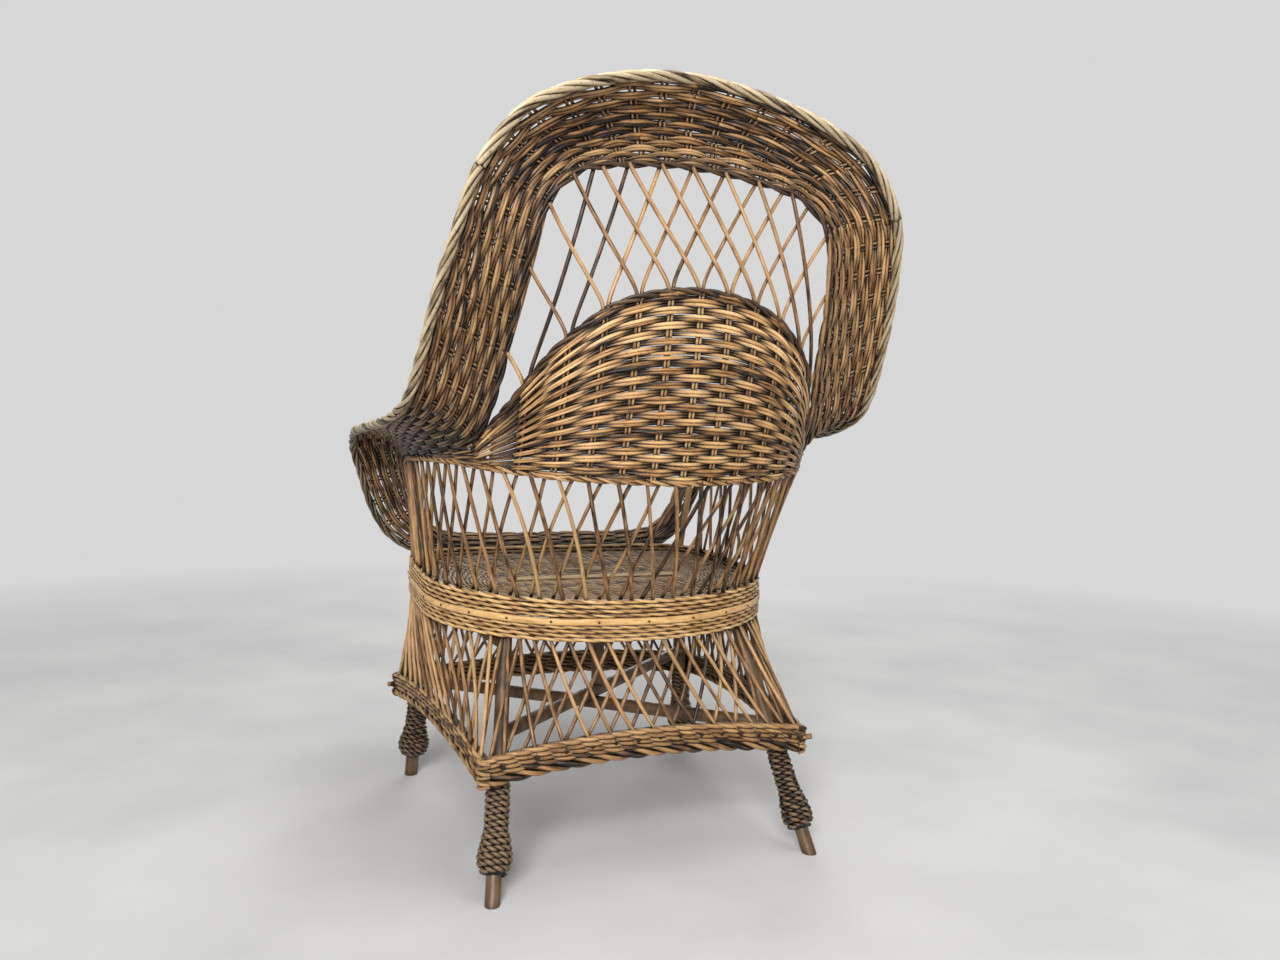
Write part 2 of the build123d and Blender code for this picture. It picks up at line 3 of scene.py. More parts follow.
import bpy
import numpy as np
from mathutils import Matrix, Vector


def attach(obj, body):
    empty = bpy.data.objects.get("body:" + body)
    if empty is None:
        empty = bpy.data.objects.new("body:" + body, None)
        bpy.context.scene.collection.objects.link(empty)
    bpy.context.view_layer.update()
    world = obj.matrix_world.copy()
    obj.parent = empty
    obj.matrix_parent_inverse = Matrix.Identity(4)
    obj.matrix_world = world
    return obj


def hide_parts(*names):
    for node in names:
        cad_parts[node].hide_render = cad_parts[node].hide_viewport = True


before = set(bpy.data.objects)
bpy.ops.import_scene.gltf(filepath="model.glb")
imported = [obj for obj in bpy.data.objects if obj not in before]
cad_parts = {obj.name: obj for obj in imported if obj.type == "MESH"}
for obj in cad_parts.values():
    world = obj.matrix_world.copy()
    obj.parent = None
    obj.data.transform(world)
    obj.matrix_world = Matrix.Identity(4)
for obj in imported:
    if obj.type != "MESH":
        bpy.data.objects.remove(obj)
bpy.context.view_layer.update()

# The chair faces -Y and the sitter's left is +X. Points are laid out in millimetres about the
# seat centre, and SHIFT_Y moves them to the centre of the chair's footprint.
SHIFT_Y = -60.4
TAU = 2 * math.pi


def metres(points):
    out = np.array(points, float)
    out[..., 1] += SHIFT_Y
    return out * 0.001


def unit(v):
    return v / np.maximum(np.linalg.norm(v, axis=-1, keepdims=True), 1e-12)


def running_length(path):
    # The length of a line up to each of its points.
    return np.concatenate([[0], np.cumsum(np.linalg.norm(np.diff(path, axis=0), axis=1))])


# ---- camera --------------------------------------------------------------------------------------
CAMERA_AT = (0.532, 1.4819, 0.6166)
YAW, PITCH, ROLL = (math.radians(a) for a in (21.9354, 2.1478, 1.1528))
LENS = 26.41


def make_camera():
    ahead = Vector((-math.sin(YAW) * math.cos(PITCH), -math.cos(YAW) * math.cos(PITCH),
                    -math.sin(PITCH)))
    right = ahead.cross(Vector((0, 0, 1))).normalized()
    up = right.cross(ahead)
    right, up = (right * math.cos(ROLL) + up * math.sin(ROLL),
                 up * math.cos(ROLL) - right * math.sin(ROLL))
    turn = Matrix((right, up, -ahead)).transposed().to_4x4()
    data = bpy.data.cameras.new("camera")
    data.lens = LENS
    data.sensor_width = 36
    camera = bpy.data.objects.new("camera", data)
    bpy.context.scene.collection.objects.link(camera)
    camera.matrix_world = Matrix.Translation(CAMERA_AT) @ turn
    bpy.context.scene.camera = camera


make_camera()


# ---- shared finish effects -----------------------------------------------------------------------
def colour(red, green, blue):
    # A colour given as 0-255 display values.
    return tuple((c / 255) ** 2.2 for c in (red, green, blue)) + (1.0,)


def new_group(name, inputs, outputs):
    group = bpy.data.node_groups.new(name, "ShaderNodeTree")
    for label, kind, value in inputs:
        socket = group.interface.new_socket(label, in_out="INPUT", socket_type=kind)
        socket.default_value = value
    for label, kind in outputs:
        group.interface.new_socket(label, in_out="OUTPUT", socket_type=kind)
    return group, group.nodes.new("NodeGroupInput"), group.nodes.new("NodeGroupOutput")


def node(tree, kind, **values):
    # A node with its settings, and its plain input values given by name.
    made = tree.nodes.new(kind)
    for key, value in values.items():
        if key in made.inputs:
            made.inputs[key].default_value = value
        else:
            setattr(made, key, value)
    return made


def noise(tree, vector, scale, detail=3.0):
    made = node(tree, "ShaderNodeTexNoise", Scale=scale, Detail=detail)
    tree.links.new(vector, made.inputs["Vector"])
    return made.outputs["Fac"]


def ranged(tree, value, low, high, to_low, to_high):
    made = tree.nodes.new("ShaderNodeMapRange")
    tree.links.new(value, made.inputs["Value"])
    for key, number in (("From Min", low), ("From Max", high), ("To Min", to_low), ("To Max", to_high)):
        made.inputs[key].default_value = number
    return made.outputs["Result"]


def maths(tree, operation, first, second):
    made = node(tree, "ShaderNodeMath", operation=operation)
    for socket, value in zip(made.inputs, (first, second)):
        if isinstance(value, (int, float)):
            socket.default_value = value
        else:
            tree.links.new(value, socket)
    return made.outputs[0]


def mixed(tree, factor, first, second):
    # A colour between two. The numbers are the places of the node's colour sockets.
    made = node(tree, "ShaderNodeMix", data_type="RGBA")
    for index, value in ((0, factor), (6, first), (7, second)):
        if isinstance(value, (int, float, tuple)):
            made.inputs[index].default_value = value
        else:
            tree.links.new(value, made.inputs[index])
    return made.outputs[2]


def make_willow_skin():
    # Streaks along the rod, blotches over it, dirt in specks, and painted shade in crevices and wherever a
    # rod is marked as shaded, which stands in for grime as well.
    group, given, out = new_group(
        "willow_skin",
        [("Light", "NodeSocketColor", (1, 1, 1, 1)), ("Middle", "NodeSocketColor", (0.5, 0.5, 0.5, 1)),
         ("Dark", "NodeSocketColor", (0.1, 0.1, 0.1, 1)), ("Tone", "NodeSocketFloat", 0.5),
         ("Age", "NodeSocketFloat", 0.0), ("Openness", "NodeSocketFloat", 1.0),
         ("Grain", "NodeSocketVector", (0, 0, 0))],
        [("Colour", "NodeSocketColor"), ("Height", "NodeSocketFloat"), ("Roughness", "NodeSocketFloat")])
    take, link = given.outputs, group.links.new
    place = group.nodes.new("ShaderNodeTexCoord").outputs["Object"]
    streak = noise(group, take["Grain"], 1.0, 4.0)
    blotch = noise(group, place, 9.0, 4.0)
    fleck = noise(group, place, 160.0, 2.0)
    tone = maths(group, "ADD", take["Tone"], ranged(group, streak, 0.3, 0.7, -0.28, 0.28))
    tone = maths(group, "ADD", tone, ranged(group, blotch, 0.35, 0.65, -0.12, 0.12))
    pale = mixed(group, ranged(group, tone, 0.35, 0.95, 0.0, 1.0), take["Middle"], take["Light"])
    whole = mixed(group, ranged(group, tone, 0.05, 0.42, 1.0, 0.0), pale, take["Dark"])
    # painted shade and dirt: the rod's own darkening, specks and blotches of dirt, and painted shade in
    # crevices from ambient occlusion
    grime_and_shade = maths(group, "ADD", take["Age"], ranged(group, fleck, 0.58, 0.75, 0.0, 0.3))
    grime_and_shade = maths(group, "ADD", grime_and_shade, ranged(group, blotch, 0.55, 0.75, 0.0, 0.25))
    grime_and_shade = maths(group, "ADD", grime_and_shade, ranged(group, take["Openness"], 0.34, 0.94, 1.0, 0.0))
    link(mixed(group, ranged(group, grime_and_shade, 0.0, 1.0, 0.0, 1.0), whole, take["Dark"]), out.inputs["Colour"])
    link(maths(group, "ADD", streak, maths(group, "MULTIPLY", fleck, 0.3)), out.inputs["Height"])
    link(ranged(group, streak, 0.3, 0.7, 0.56, 0.36), out.inputs["Roughness"])
    return group


WILLOW_SKIN = make_willow_skin()
CREVICE_REACH = 0.019    # rods nearer than this darken each other: painted shade in the crevices, standing for grime too
ROD_GRAIN = (38.0, 5.0, 1.0)    # streaks for each metre along a rod, and round it


def willow(name, light, middle, dark, solid_grain=None):
    # A willow finish. Rods carry their own tone and their own darkening, painted shade with some dirt; a
    # solid piece takes its tone from its place.
    material = bpy.data.materials.new(name)
    material.use_nodes = True
    tree = material.node_tree
    shader = tree.nodes["Principled BSDF"]
    shader.inputs["Specular IOR Level"].default_value = 0.42
    skin = node(tree, "ShaderNodeGroup", node_tree=WILLOW_SKIN, Light=colour(*light),
                Middle=colour(*middle), Dark=colour(*dark))
    mapping = node(tree, "ShaderNodeMapping")
    place = tree.nodes.new("ShaderNodeTexCoord")
    if solid_grain:
        mapping.inputs["Scale"].default_value = solid_grain
        tree.links.new(place.outputs["Object"], mapping.inputs["Vector"])
        tone = ranged(tree, noise(tree, place.outputs["Object"], 6.0), 0.3, 0.7, 0.25, 0.75)
        tree.links.new(tone, skin.inputs["Tone"])
    else:
        mapping.inputs["Scale"].default_value = ROD_GRAIN
        tree.links.new(place.outputs["UV"], mapping.inputs["Vector"])
        for label in ("Tone", "Age"):
            worn = node(tree, "ShaderNodeAttribute", attribute_name=label.lower())
            tree.links.new(worn.outputs["Fac"], skin.inputs[label])
    tree.links.new(mapping.outputs["Vector"], skin.inputs["Grain"])
    # painted shade in crevices, from ambient occlusion
    crevice = node(tree, "ShaderNodeAmbientOcclusion", Distance=CREVICE_REACH, samples=4)
    tree.links.new(crevice.outputs["AO"], skin.inputs["Openness"])
    bump = node(tree, "ShaderNodeBump", Strength=0.35, Distance=0.0006)
    tree.links.new(skin.outputs["Height"], bump.inputs["Height"])
    tree.links.new(skin.outputs["Colour"], shader.inputs["Base Color"])
    tree.links.new(skin.outputs["Roughness"], shader.inputs["Roughness"])
    tree.links.new(bump.outputs["Normal"], shader.inputs["Normal"])
    return material


COLLAR_WILLOW = willow("collar_willow", (228, 182, 126), (164, 116, 69), (25, 17, 11))
BACK_WILLOW = willow("back_willow", (238, 194, 136), (182, 132, 80), (27, 18, 12))
BAND_WILLOW = willow("band_willow", (230, 190, 130), (190, 143, 87), (44, 29, 17))
LATTICE_WILLOW = willow("lattice_willow", (200, 158, 108), (144, 104, 65), (36, 25, 16))
SEAT_WILLOW = willow("seat_willow", (196, 164, 116), (144, 114, 78), (24, 18, 12))
BORDER_WILLOW = willow("border_willow", (238, 218, 180), (198, 170, 128), (44, 33, 22))
SKIRT_WILLOW = willow("skirt_willow", (198, 156, 104), (144, 104, 65), (25, 17, 11))
DARK_WILLOW = willow("dark_willow", (104, 80, 58), (70, 50, 34), (34, 24, 16))
ROPE_WILLOW = willow("rope_willow", (134, 110, 82), (86, 66, 47), (18, 13, 9))
STICK_WOOD = willow("stick_wood", (124, 98, 70), (88, 66, 46), (44, 33, 24), (60, 60, 9))
RAIL_WOOD = willow("rail_wood", (140, 110, 78), (104, 78, 52), (60, 42, 28), (30, 30, 30))
POST_WILLOW = willow("post_willow", (188, 150, 98), (150, 114, 72), (76, 54, 34), (60, 60, 9))


def make_nail_iron():
    material = bpy.data.materials.new("nail_iron")
    material.use_nodes = True
    tree = material.node_tree
    shader = tree.nodes["Principled BSDF"]
    place = tree.nodes.new("ShaderNodeTexCoord").outputs["Object"]
    rust = ranged(tree, noise(tree, place, 700.0), 0.4, 0.65, 0.0, 1.0)
    tree.links.new(mixed(tree, rust, colour(46, 34, 28), colour(92, 52, 30)), shader.inputs["Base Color"])
    tree.links.new(ranged(tree, rust, 0.0, 1.0, 0.45, 0.85), shader.inputs["Roughness"])
    shader.inputs["Metallic"].default_value = 0.4
    return material


NAIL_IRON = make_nail_iron()


# ---- rods and the pieces that they make up -------------------------------------------------------
class Bundle:
    # The rods of one piece, gathered into one mesh with a tone and a darkening at every point: painted
    # shade, with some dirt.
    def __init__(self, seed):
        self.random = np.random.default_rng(seed)
        self.points, self.quads, self.uvs, self.tones, self.shades_and_dirt = [], [], [], [], []
        self.rounded = []
        self.size = 0

    def rod(self, path, radius, age=0.0, tone=None, normal=None, sides=6, flat=1.0):
        # A tube along a path. Its ends are closed with flat faces, so they don't bend the shading.
        path = np.asarray(path, float)
        count = len(path)
        run = unit(np.gradient(path, axis=0))
        if normal is None:
            normal = np.broadcast_to(np.eye(3)[np.argmin(np.abs(run).max(axis=0))], run.shape)
        side = unit(np.cross(run, normal))
        up = np.cross(side, run)
        radius = np.broadcast_to(radius, (count,))[:, None, None]
        turn = np.arange(sides) * TAU / sides
        ring = (up[:, None] * np.cos(turn)[None, :, None] * flat
                + side[:, None] * np.sin(turn)[None, :, None])
        self.points.append((path[:, None] + ring * radius).reshape(-1, 3))
        i, k = np.meshgrid(np.arange(count - 1), np.arange(sides), indexing="ij")
        i, k = i.ravel(), k.ravel()
        after = (k + 1) % sides
        body = np.stack([i * sides + k, i * sides + after, (i + 1) * sides + after, (i + 1) * sides + k], 1)
        length = running_length(path)
        length = length + self.random.uniform(0, 60)
        row = self.random.uniform(0, 60)
        u = np.stack([length[i], length[i], length[i + 1], length[i + 1]], 1)
        v = np.stack([k, k + 1, k + 1, k], 1) / sides + row
        last = (count - 1) * sides
        caps = []
        for j in range(1, sides - 2, 2):
            caps.append([0, j + 2, j + 1, j])
            caps.append([last, last + j, last + j + 1, last + j + 2])
        caps = np.array(caps)
        self.quads.append(np.concatenate([body, caps]) + self.size)
        self.rounded.append(np.arange(len(body) + len(caps)) < len(body))
        self.uvs.append(np.concatenate([np.stack([u, v], 2).reshape(-1, 2),
                                        np.full((len(caps) * 4, 2), (length[0], row))]))
        if tone is None:
            tone = np.clip(self.random.normal(0.5, 0.2), 0, 1)
        self.tones.append(np.full(count * sides, tone))
        self.shades_and_dirt.append(np.repeat(np.clip(np.broadcast_to(age, (count,)), 0, 1), sides))
        self.size += count * sides

    def finish(self, name, material, slot, *nodes):
        points, quads = np.concatenate(self.points), np.concatenate(self.quads)
        mesh = bpy.data.meshes.new(name)
        mesh.vertices.add(len(points))
        mesh.vertices.foreach_set("co", points.ravel().astype(np.float32))
        mesh.loops.add(quads.size)
        mesh.loops.foreach_set("vertex_index", quads.ravel().astype(np.int32))
        mesh.polygons.add(len(quads))
        mesh.polygons.foreach_set("loop_start", np.arange(0, quads.size, 4, dtype=np.int32))
        mesh.polygons.foreach_set("use_smooth", np.concatenate(self.rounded))
        mesh.update(calc_edges=True)
        mesh.uv_layers.new(name="grain").data.foreach_set(
            "uv", np.concatenate(self.uvs).ravel().astype(np.float32))
        for label, values in (("tone", self.tones), ("age", self.shades_and_dirt)):
            layer = mesh.attributes.new(label, "FLOAT", "POINT")
            layer.data.foreach_set("value", np.concatenate(values).astype(np.float32))
        mesh.materials.append(material)
        piece = bpy.data.objects.new(name, mesh)
        bpy.context.scene.collection.objects.link(piece)
        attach(piece, "root")
        if nodes:
            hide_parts(*nodes)


def resampled(path, step):
    # The same line in even steps of about the given length.
    length = running_length(path)
    count = max(int(round(length[-1] / step)), 2) + 1
    at = np.linspace(0, length[-1], count)
    return np.stack([np.interp(at, length, path[:, k]) for k in range(3)], 1)


def curve_at(points, u, closed=False):
    # A smooth curve through control points; u counts them.
    points = np.asarray(points, float)
    count = len(points)
    low = np.floor(u).astype(int)
    if not closed:
        low = np.clip(low, 0, count - 2)
    t = (u - low).reshape(-1, *[1] * (points.ndim - 1))

    def at(i):
        return points[i % count] if closed else points[np.clip(i, 0, count - 1)]

    a, b, c, d = at(low - 1), at(low), at(low + 1), at(low + 2)
    return 0.5 * (2 * b + (c - a) * t + (2 * a - 5 * b + 4 * c - d) * t ** 2
                  + (3 * b - a - 3 * c + d) * t ** 3)


def smooth(points, step):
    spans = len(points) - 1
    return resampled(curve_at(points, np.linspace(0, spans, spans * 16 + 1)), step)


def rope(bundle, path, normal, strands, lay, thick, pitch, tall=1.0, phase=0.0, age=0.0):
    # Strands laid round each other along a line; lay is their distance from it, pitch one turn.
    path = np.asarray(path, float)
    length = running_length(path)
    run = unit(np.gradient(path, axis=0))
    side = unit(np.cross(run, normal))
    out = np.cross(side, run)
    for k in range(strands):
        turn = TAU * (length / pitch + k / strands) + phase
        around = out * (np.cos(turn) * lay)[:, None] + side * (np.sin(turn) * lay * tall)[:, None]
        # painted shade where the strand turns under the others
        hidden = 0.22 * (1 - np.cos(turn))
        bundle.rod(path + around, thick * bundle.random.uniform(0.92, 1.08), age=age + hidden,
                   normal=out)


# ---- outlines ------------------------------------------------------------------------------------
WAIST_A, WAIST_REAR, WAIST_FRONT, WAIST_Y = 290.0, 261.0, 231.0, 3.0
REAR_POWER, FRONT_POWER = 2.1, 6.0
WAIST_TOP_Z, WAIST_SLOPE = 400.0, 0.057
UPPER_WALE_H, HOOP_H, LOWER_WALE_H, WALE_T = 22.0, 14.0, 22.0, 12.0
SKIRT_TOP = -(UPPER_WALE_H + HOOP_H + LOWER_WALE_H)
SKIRT_Z, BRAID_H, BRAID_ARCH = 143.0, 34.0, 20.0
LAYER = 3.1                  # each of two crossing layers stands this far off the middle


def waist_point(angle, inset=0.0, height=0.0):
    # The waist outline, rounded behind and squarer in front.
    angle = np.asarray(angle, float)
    cos_a, sin_a = np.cos(angle), np.sin(angle)
    rear = sin_a >= 0
    power = np.where(rear, 2 / REAR_POWER, 2 / FRONT_POWER)
    depth = np.where(rear, WAIST_REAR, WAIST_FRONT) - inset
    x = np.sign(cos_a) * np.abs(cos_a) ** power * (WAIST_A - inset)
    y = WAIST_Y + np.sign(sin_a) * np.abs(sin_a) ** power * depth
    z = WAIST_TOP_Z + height - WAIST_SLOPE * (y - WAIST_Y)
    return np.stack([x, y, z], -1)


def waist_angle(first, last, share):
    # The angle at a share of the outline's length between two angles.
    angles = np.linspace(first, last, 241)
    length = running_length(waist_point(angles))
    return np.interp(share, length / length[-1], angles)


def waist_line(inset, height, step):
    # The whole outline, begun and ended in front, where the seat lip covers the join.
    loop = waist_point(np.linspace(-math.pi / 2, 1.5 * math.pi, 1441), inset, height)
    return resampled(metres(loop), step)


def chain_at(chain, share):
    # The point at a share of a chain's length, and its level direction.
    length = running_length(chain)
    length = length / length[-1]

    def at(t):
        return np.stack([np.interp(t, length, chain[:, k]) for k in range(3)], -1)

    share = np.asarray(share, float)
    return at(share), unit(at(np.minimum(share + 0.02, 1)) - at(np.maximum(share - 0.02, 0)))


def both_sides(half):
    # A half chain that ends on the middle plane, run on over its mirror image.
    half = np.array(half, float)
    return np.concatenate([half, half[-2::-1] * (-1, 1, 1)])


RING = both_sides([(288, -206, 578), (297, -100, 586), (303, 0, 588), (298, 100, 590), (277, 200, 588),
                   (235, 278, 580), (160, 335, 571), (80, 364, 567), (0, 374, 565)])
DOME = both_sides([(262, 250, 605), (254, 264, 619), (240, 295, 646), (222, 328, 676), (205, 357, 706),
                   (185, 381, 735), (152, 402, 767), (116, 413, 793), (60, 421, 812), (0, 423, 818)])
# Inner edge, crown and outer edge of the rolled collar, from the front of the lip round to the hood.
COLLAR_HALF = [
    ((0, -236, 414), (0, -274, 434), (0, -312, 408)),
    ((120, -236, 414), (125, -274, 434), (128, -314, 407)),
    ((205, -234, 419), (212, -274, 440), (248, -318, 404)),
    ((242, -231, 436), (252, -276, 464), (300, -322, 428)),
    ((263, -229, 468), (274, -279, 493), (328, -322, 466)),
    ((275, -228, 515), (291, -280, 531), (347, -318, 510)),
    ((284, -225, 556), (308, -274, 579), (362, -305, 555)),
    ((291, -208, 580), (322, -245, 613), (378, -270, 600)),
    ((297, -150, 589), (333, -165, 627), (384, -180, 628)),
    ((302, -50, 592), (338, -50, 632), (383, -50, 634)),
    ((300, 60, 594), (336, 60, 634), (378, 60, 638)),
    ((290, 150, 598), (326, 155, 637), (371, 150, 643)),
    ((275, 215, 606), (312, 222, 646), (362, 225, 655)),
    ((261, 262, 622), (303, 270, 661), (355, 280, 675)),
    ((247, 305, 672), (294, 300, 700), (347, 325, 722)),
    ((235, 340, 750), (282, 338, 770), (334, 372, 803)),
    ((223, 380, 838), (269, 375, 860), (318, 410, 873)),
    ((204, 404, 915), (249, 398, 935), (298, 436, 940)),
    ((165, 404, 958), (200, 394, 990), (255, 444, 1005)),
    ((132, 400, 970), (155, 388, 1012), (200, 440, 1043)),
    ((95, 395, 978), (108, 380, 1032), (140, 428, 1070)),
    ((48, 390, 985), (55, 374, 1042), (70, 413, 1091)),
    ((0, 387, 988), (0, 371, 1046), (0, 404, 1100)),
]
HALF = np.array(COLLAR_HALF, float)
COLLAR = metres(np.concatenate([HALF, HALF[-2:0:-1] * (-1, 1, 1)]))
STATIONS = len(COLLAR)


# ---- rope wraps of the legs ----------------------------------------------------------------------
LEG_TOP_Z = 376.0
WRAP_LOW, WRAP_BULB, WRAP_TOP = 34.0, 60.0, 164.0
ROPE_R = 4.9                 # two strands together
ROPE_RISE = 8.8              # each turn covers this much of the stick
PAD_HEIGHTS = (WRAP_LOW, WRAP_LOW + 14, WRAP_BULB, WRAP_BULB + 34, WRAP_TOP)
PAD_LEVELS = 24
TURN_SAMPLES, SWELL_EASE = 44, 24    # points in a turn, and how many the swell is evened over
# foot, top, radius of the stick, and how far the bulb stands off it
LEGS = {
    "rear_left": ((245, 334), (186, 152), 10.5, 15.0),
    "rear_right": ((-245, 334), (-186, 152), 10.5, 15.0),
    "front_left": ((274, -203), (248, -178), 11.5, 17.0),
    "front_right": ((-274, -203), (-248, -178), 11.5, 17.0),
}


def wrap_leg(name, seed):
    # A two-strand rope wound down the stick, over a padded bulb above the foot.
    foot, top, stick, bulb = LEGS[name]
    foot, top = np.array([*foot, 0.0]), np.array([*top, LEG_TOP_Z])
    axis = unit(top - foot)
    level = unit(np.cross(axis, (1, 0, 0)))
    across = np.cross(level, axis)
    turns = (WRAP_TOP - WRAP_LOW) / ROPE_RISE
    t = np.linspace(0, turns * TAU, int(turns * TURN_SAMPLES))
    height = WRAP_TOP - ROPE_R + (WRAP_LOW + 2 * ROPE_R - WRAP_TOP) * t / t[-1]
    swell = np.interp(height, PAD_HEIGHTS, (3.5, bulb * 0.9, bulb, 8.0, 6.5))
    window = 2 * SWELL_EASE + 1
    swell = np.convolve(np.pad(swell, SWELL_EASE, mode="edge"), np.ones(window) / window, "valid")
    bundle = Bundle(seed)
    wobble = bundle.random.normal(0, 0.35, 40)
    wobble = np.interp(t, np.linspace(0, t[-1], 40), wobble)
    out = level * np.cos(t)[:, None] + across * np.sin(t)[:, None]
    centre = foot + axis * (height + wobble)[:, None]
    path = metres(centre + out * (stick + swell - ROPE_R + wobble)[:, None])
    path = resampled(path, 0.0019)
    middle = metres(foot)
    normal = path - middle
    normal = unit(normal - np.outer(normal @ axis, axis))
    rope(bundle, path, normal, strands=2, lay=0.0024, thick=0.0028, pitch=0.021, age=0.1)
    pad_height = np.linspace(WRAP_LOW + 3, WRAP_TOP - 3, PAD_LEVELS)
    pad = np.array([metres(foot + axis * h) for h in pad_height])
    pad_r = np.interp(pad_height, PAD_HEIGHTS, (2.0, bulb * 0.9 - 5, bulb - 5, 3.2, 2.0)) + stick - 1.5
    bundle.rod(pad, pad_r * 0.001, age=0.95, tone=0.2, sides=24)
    bundle.finish(f"rope_wrap_{name}", ROPE_WILLOW, "rope_dark", f"leg_wrap_{name}")


for seed, name in enumerate(LEGS):
    wrap_leg(name, 100 + seed)


# ---- waist bands ---------------------------------------------------------------------------------
WALE_OUT = 3.5               # the waling stands this far outside the middle of the band
WALE_ROWS = 4
WALE_TURNS = 22


def waist_wale(name, top, tall, seed):
    # Rows of three-rod waling: each rod passes before two stakes and behind one.
    bundle = Bundle(seed)
    for row in range(WALE_ROWS):
        height = top - (row + 0.5) * tall
        path = waist_line(WALE_T / 2 - WALE_OUT, height, 0.0045)
        run = unit(np.gradient(path, axis=0))
        normal = unit(np.cross(run, (0, 0, 1)))
        pitch = np.linalg.norm(np.diff(path, axis=0), axis=1).sum() / WALE_TURNS
        rope(bundle, path, normal, strands=3, lay=0.0038, thick=0.0026, pitch=pitch, tall=0.36,
             phase=-1.1 * row, age=0.02)
    bundle.finish(name + "_weave", BAND_WILLOW, "weave_band", name)


def split_hoop():
    # A half-round split rod nailed round the waist between the two wales.
    bundle = Bundle(23)
    path = waist_line(-2.4, -UPPER_WALE_H - HOOP_H / 2, 0.006)
    path[:, 2] += 0.0005 * np.sin(np.linspace(0, 9 * TAU, len(path)))
    normal = unit(np.cross(unit(np.gradient(path, axis=0)), (0, 0, 1)))
    bundle.rod(path, 0.0057, tone=0.62, normal=normal, sides=10, flat=0.42)
    bundle.finish("waist_hoop_split", BAND_WILLOW, "hoop_wood", "waist_hoop")


waist_wale("waist_upper_wale", 3.0, 6.7, 21)
waist_wale("waist_lower_wale", -(UPPER_WALE_H + HOOP_H) + 1.5, 6.0, 22)
split_hoop()


# ---- seat ----------------------------------------------------------------------------------------
SEAT_MIDDLE = -12.0          # middle of the seat weave below the rim of the waist band
SEAT_SAG = 3.0
SLATH = 152.0                # half the length of the line that the weave starts from
SLATH_Y = 20.0
SLATH_EASE = 120.0           # over this width the stakes fan out from the line
SEAT_STAKES, SEAT_ROWS = 60, 37
SEAT_SAMPLES = 6             # points between one stake and the next
SEAT_WAVE, SEAT_ROD_R, SEAT_FIRST_R = 1.7, 0.0022, 0.003


def seat_at(angle, share, lift=0.0):
    # A point of the seat: share 0 is the line across its middle, and 1 the waist band.
    rim = waist_point(angle, WALE_T + 1, SEAT_MIDDLE)
    heart_x = SLATH * np.tanh(rim[..., 0] / SLATH_EASE)
    share = np.asarray(share, float)
    x = heart_x + (rim[..., 0] - heart_x) * share
    y = SLATH_Y + (rim[..., 1] - SLATH_Y) * share
    z = WAIST_TOP_Z + SEAT_MIDDLE - WAIST_SLOPE * (y - WAIST_Y) - SEAT_SAG * (1 - share ** 2)
    return np.stack([x, y, z + lift], -1)


def make_seat():
    bundle = Bundle(31)
    turn = np.linspace(0, 1, SEAT_STAKES * SEAT_SAMPLES + 1)
    round_turn = np.linspace(-math.pi / 2, 1.5 * math.pi, 721)
    rim = metres(waist_point(round_turn, WALE_T + 1, SEAT_MIDDLE))
    length = running_length(rim)
    angle = np.interp(turn * length[-1], length, round_turn)
    wave = np.cos(math.pi * SEAT_STAKES * turn)
    for row in range(SEAT_ROWS):
        share = (row + 0.5) / SEAT_ROWS
        lift = SEAT_WAVE * wave * (-1) ** row * min(1.0, 0.35 + share * 2)
        path = metres(seat_at(angle, share, lift))
        thick = SEAT_ROD_R if row > 1 else SEAT_FIRST_R
        # painted shade where the row dives under a stake, and darker towards the rim
        bundle.rod(path, thick, age=0.2 - 0.1 * wave * (-1) ** row + 0.25 * share ** 4,
                   normal=np.broadcast_to((0, 0, 1.0), path.shape))
    for at in angle[:-1:SEAT_SAMPLES]:
        path = metres(seat_at(np.full(14, at), np.linspace(0.0, 1.0, 14)))
        bundle.rod(path, 0.0021, age=0.35)
    for side in (-6.5, 0.0, 6.5):
        x = np.linspace(-SLATH, SLATH, 30)
        y = SLATH_Y + side + 0.8 * np.sin(x / 24 + side)
        z = WAIST_TOP_Z + SEAT_MIDDLE - WAIST_SLOPE * (y - WAIST_Y) + 0.5
        bundle.rod(metres(np.stack([x, y, z], -1)), 0.0031, age=0.15, tone=0.75)
    bundle.finish("seat_weave", SEAT_WILLOW, "weave_seat", "seat_panel")


make_seat()


# ---- skirt ---------------------------------------------------------------------------------------
def flip(point):
    return (-point[0], *point[1:])


REAR_CORNER, FRONT_CORNER = math.radians(47), math.radians(-45)
CORNER_REAR, CORNER_FRONT = (249.0, 293.0, SKIRT_Z), (297.0, -226.0, SKIRT_Z)
SKIRT_RODS, SKIRT_SHIFT, LATTICE_R = 15, 0.15, 0.0029
HEM_ROWS, HEM_LOW, HEM_PITCH = 4, 17.5, 6.8
HEM_BRAID, HEM_PAST = 7.6, 5.0    # height of the braid's middle, and how far the hem passes a corner
BINDING_HEIGHTS = (3.0, 9.5, 16.5, 23.5, 30.5, 37.5)
BINDING_HALF, BINDING_OUT, BINDING_BEND = 9.0, 8.0, 7.0    # half its width, and how it rounds the corner
# corners where a cut rod end stands proud, and the way that it points
PROUD_ENDS = ((flip(CORNER_REAR), (-1, 0.1, 0.05)), (CORNER_FRONT, (1, 0.45, 0.1)))
PROUD_HEIGHT, PROUD_LENGTH = 22.0, 19.0
# each side of the skirt: its two lower corners, and the angles that it spans on the waist
SIDES = {
    "rear": (flip(CORNER_REAR), CORNER_REAR, math.pi - REAR_CORNER, REAR_CORNER),
    "left": (CORNER_REAR, CORNER_FRONT, REAR_CORNER, FRONT_CORNER),
    "front": (CORNER_FRONT, flip(CORNER_FRONT), FRONT_CORNER, -math.pi - FRONT_CORNER),
    "right": (flip(CORNER_FRONT), flip(CORNER_REAR), math.pi - FRONT_CORNER, math.pi - REAR_CORNER),
}


def braid_height(share):
    return BRAID_ARCH * (1 - (2 * share - 1) ** 2)


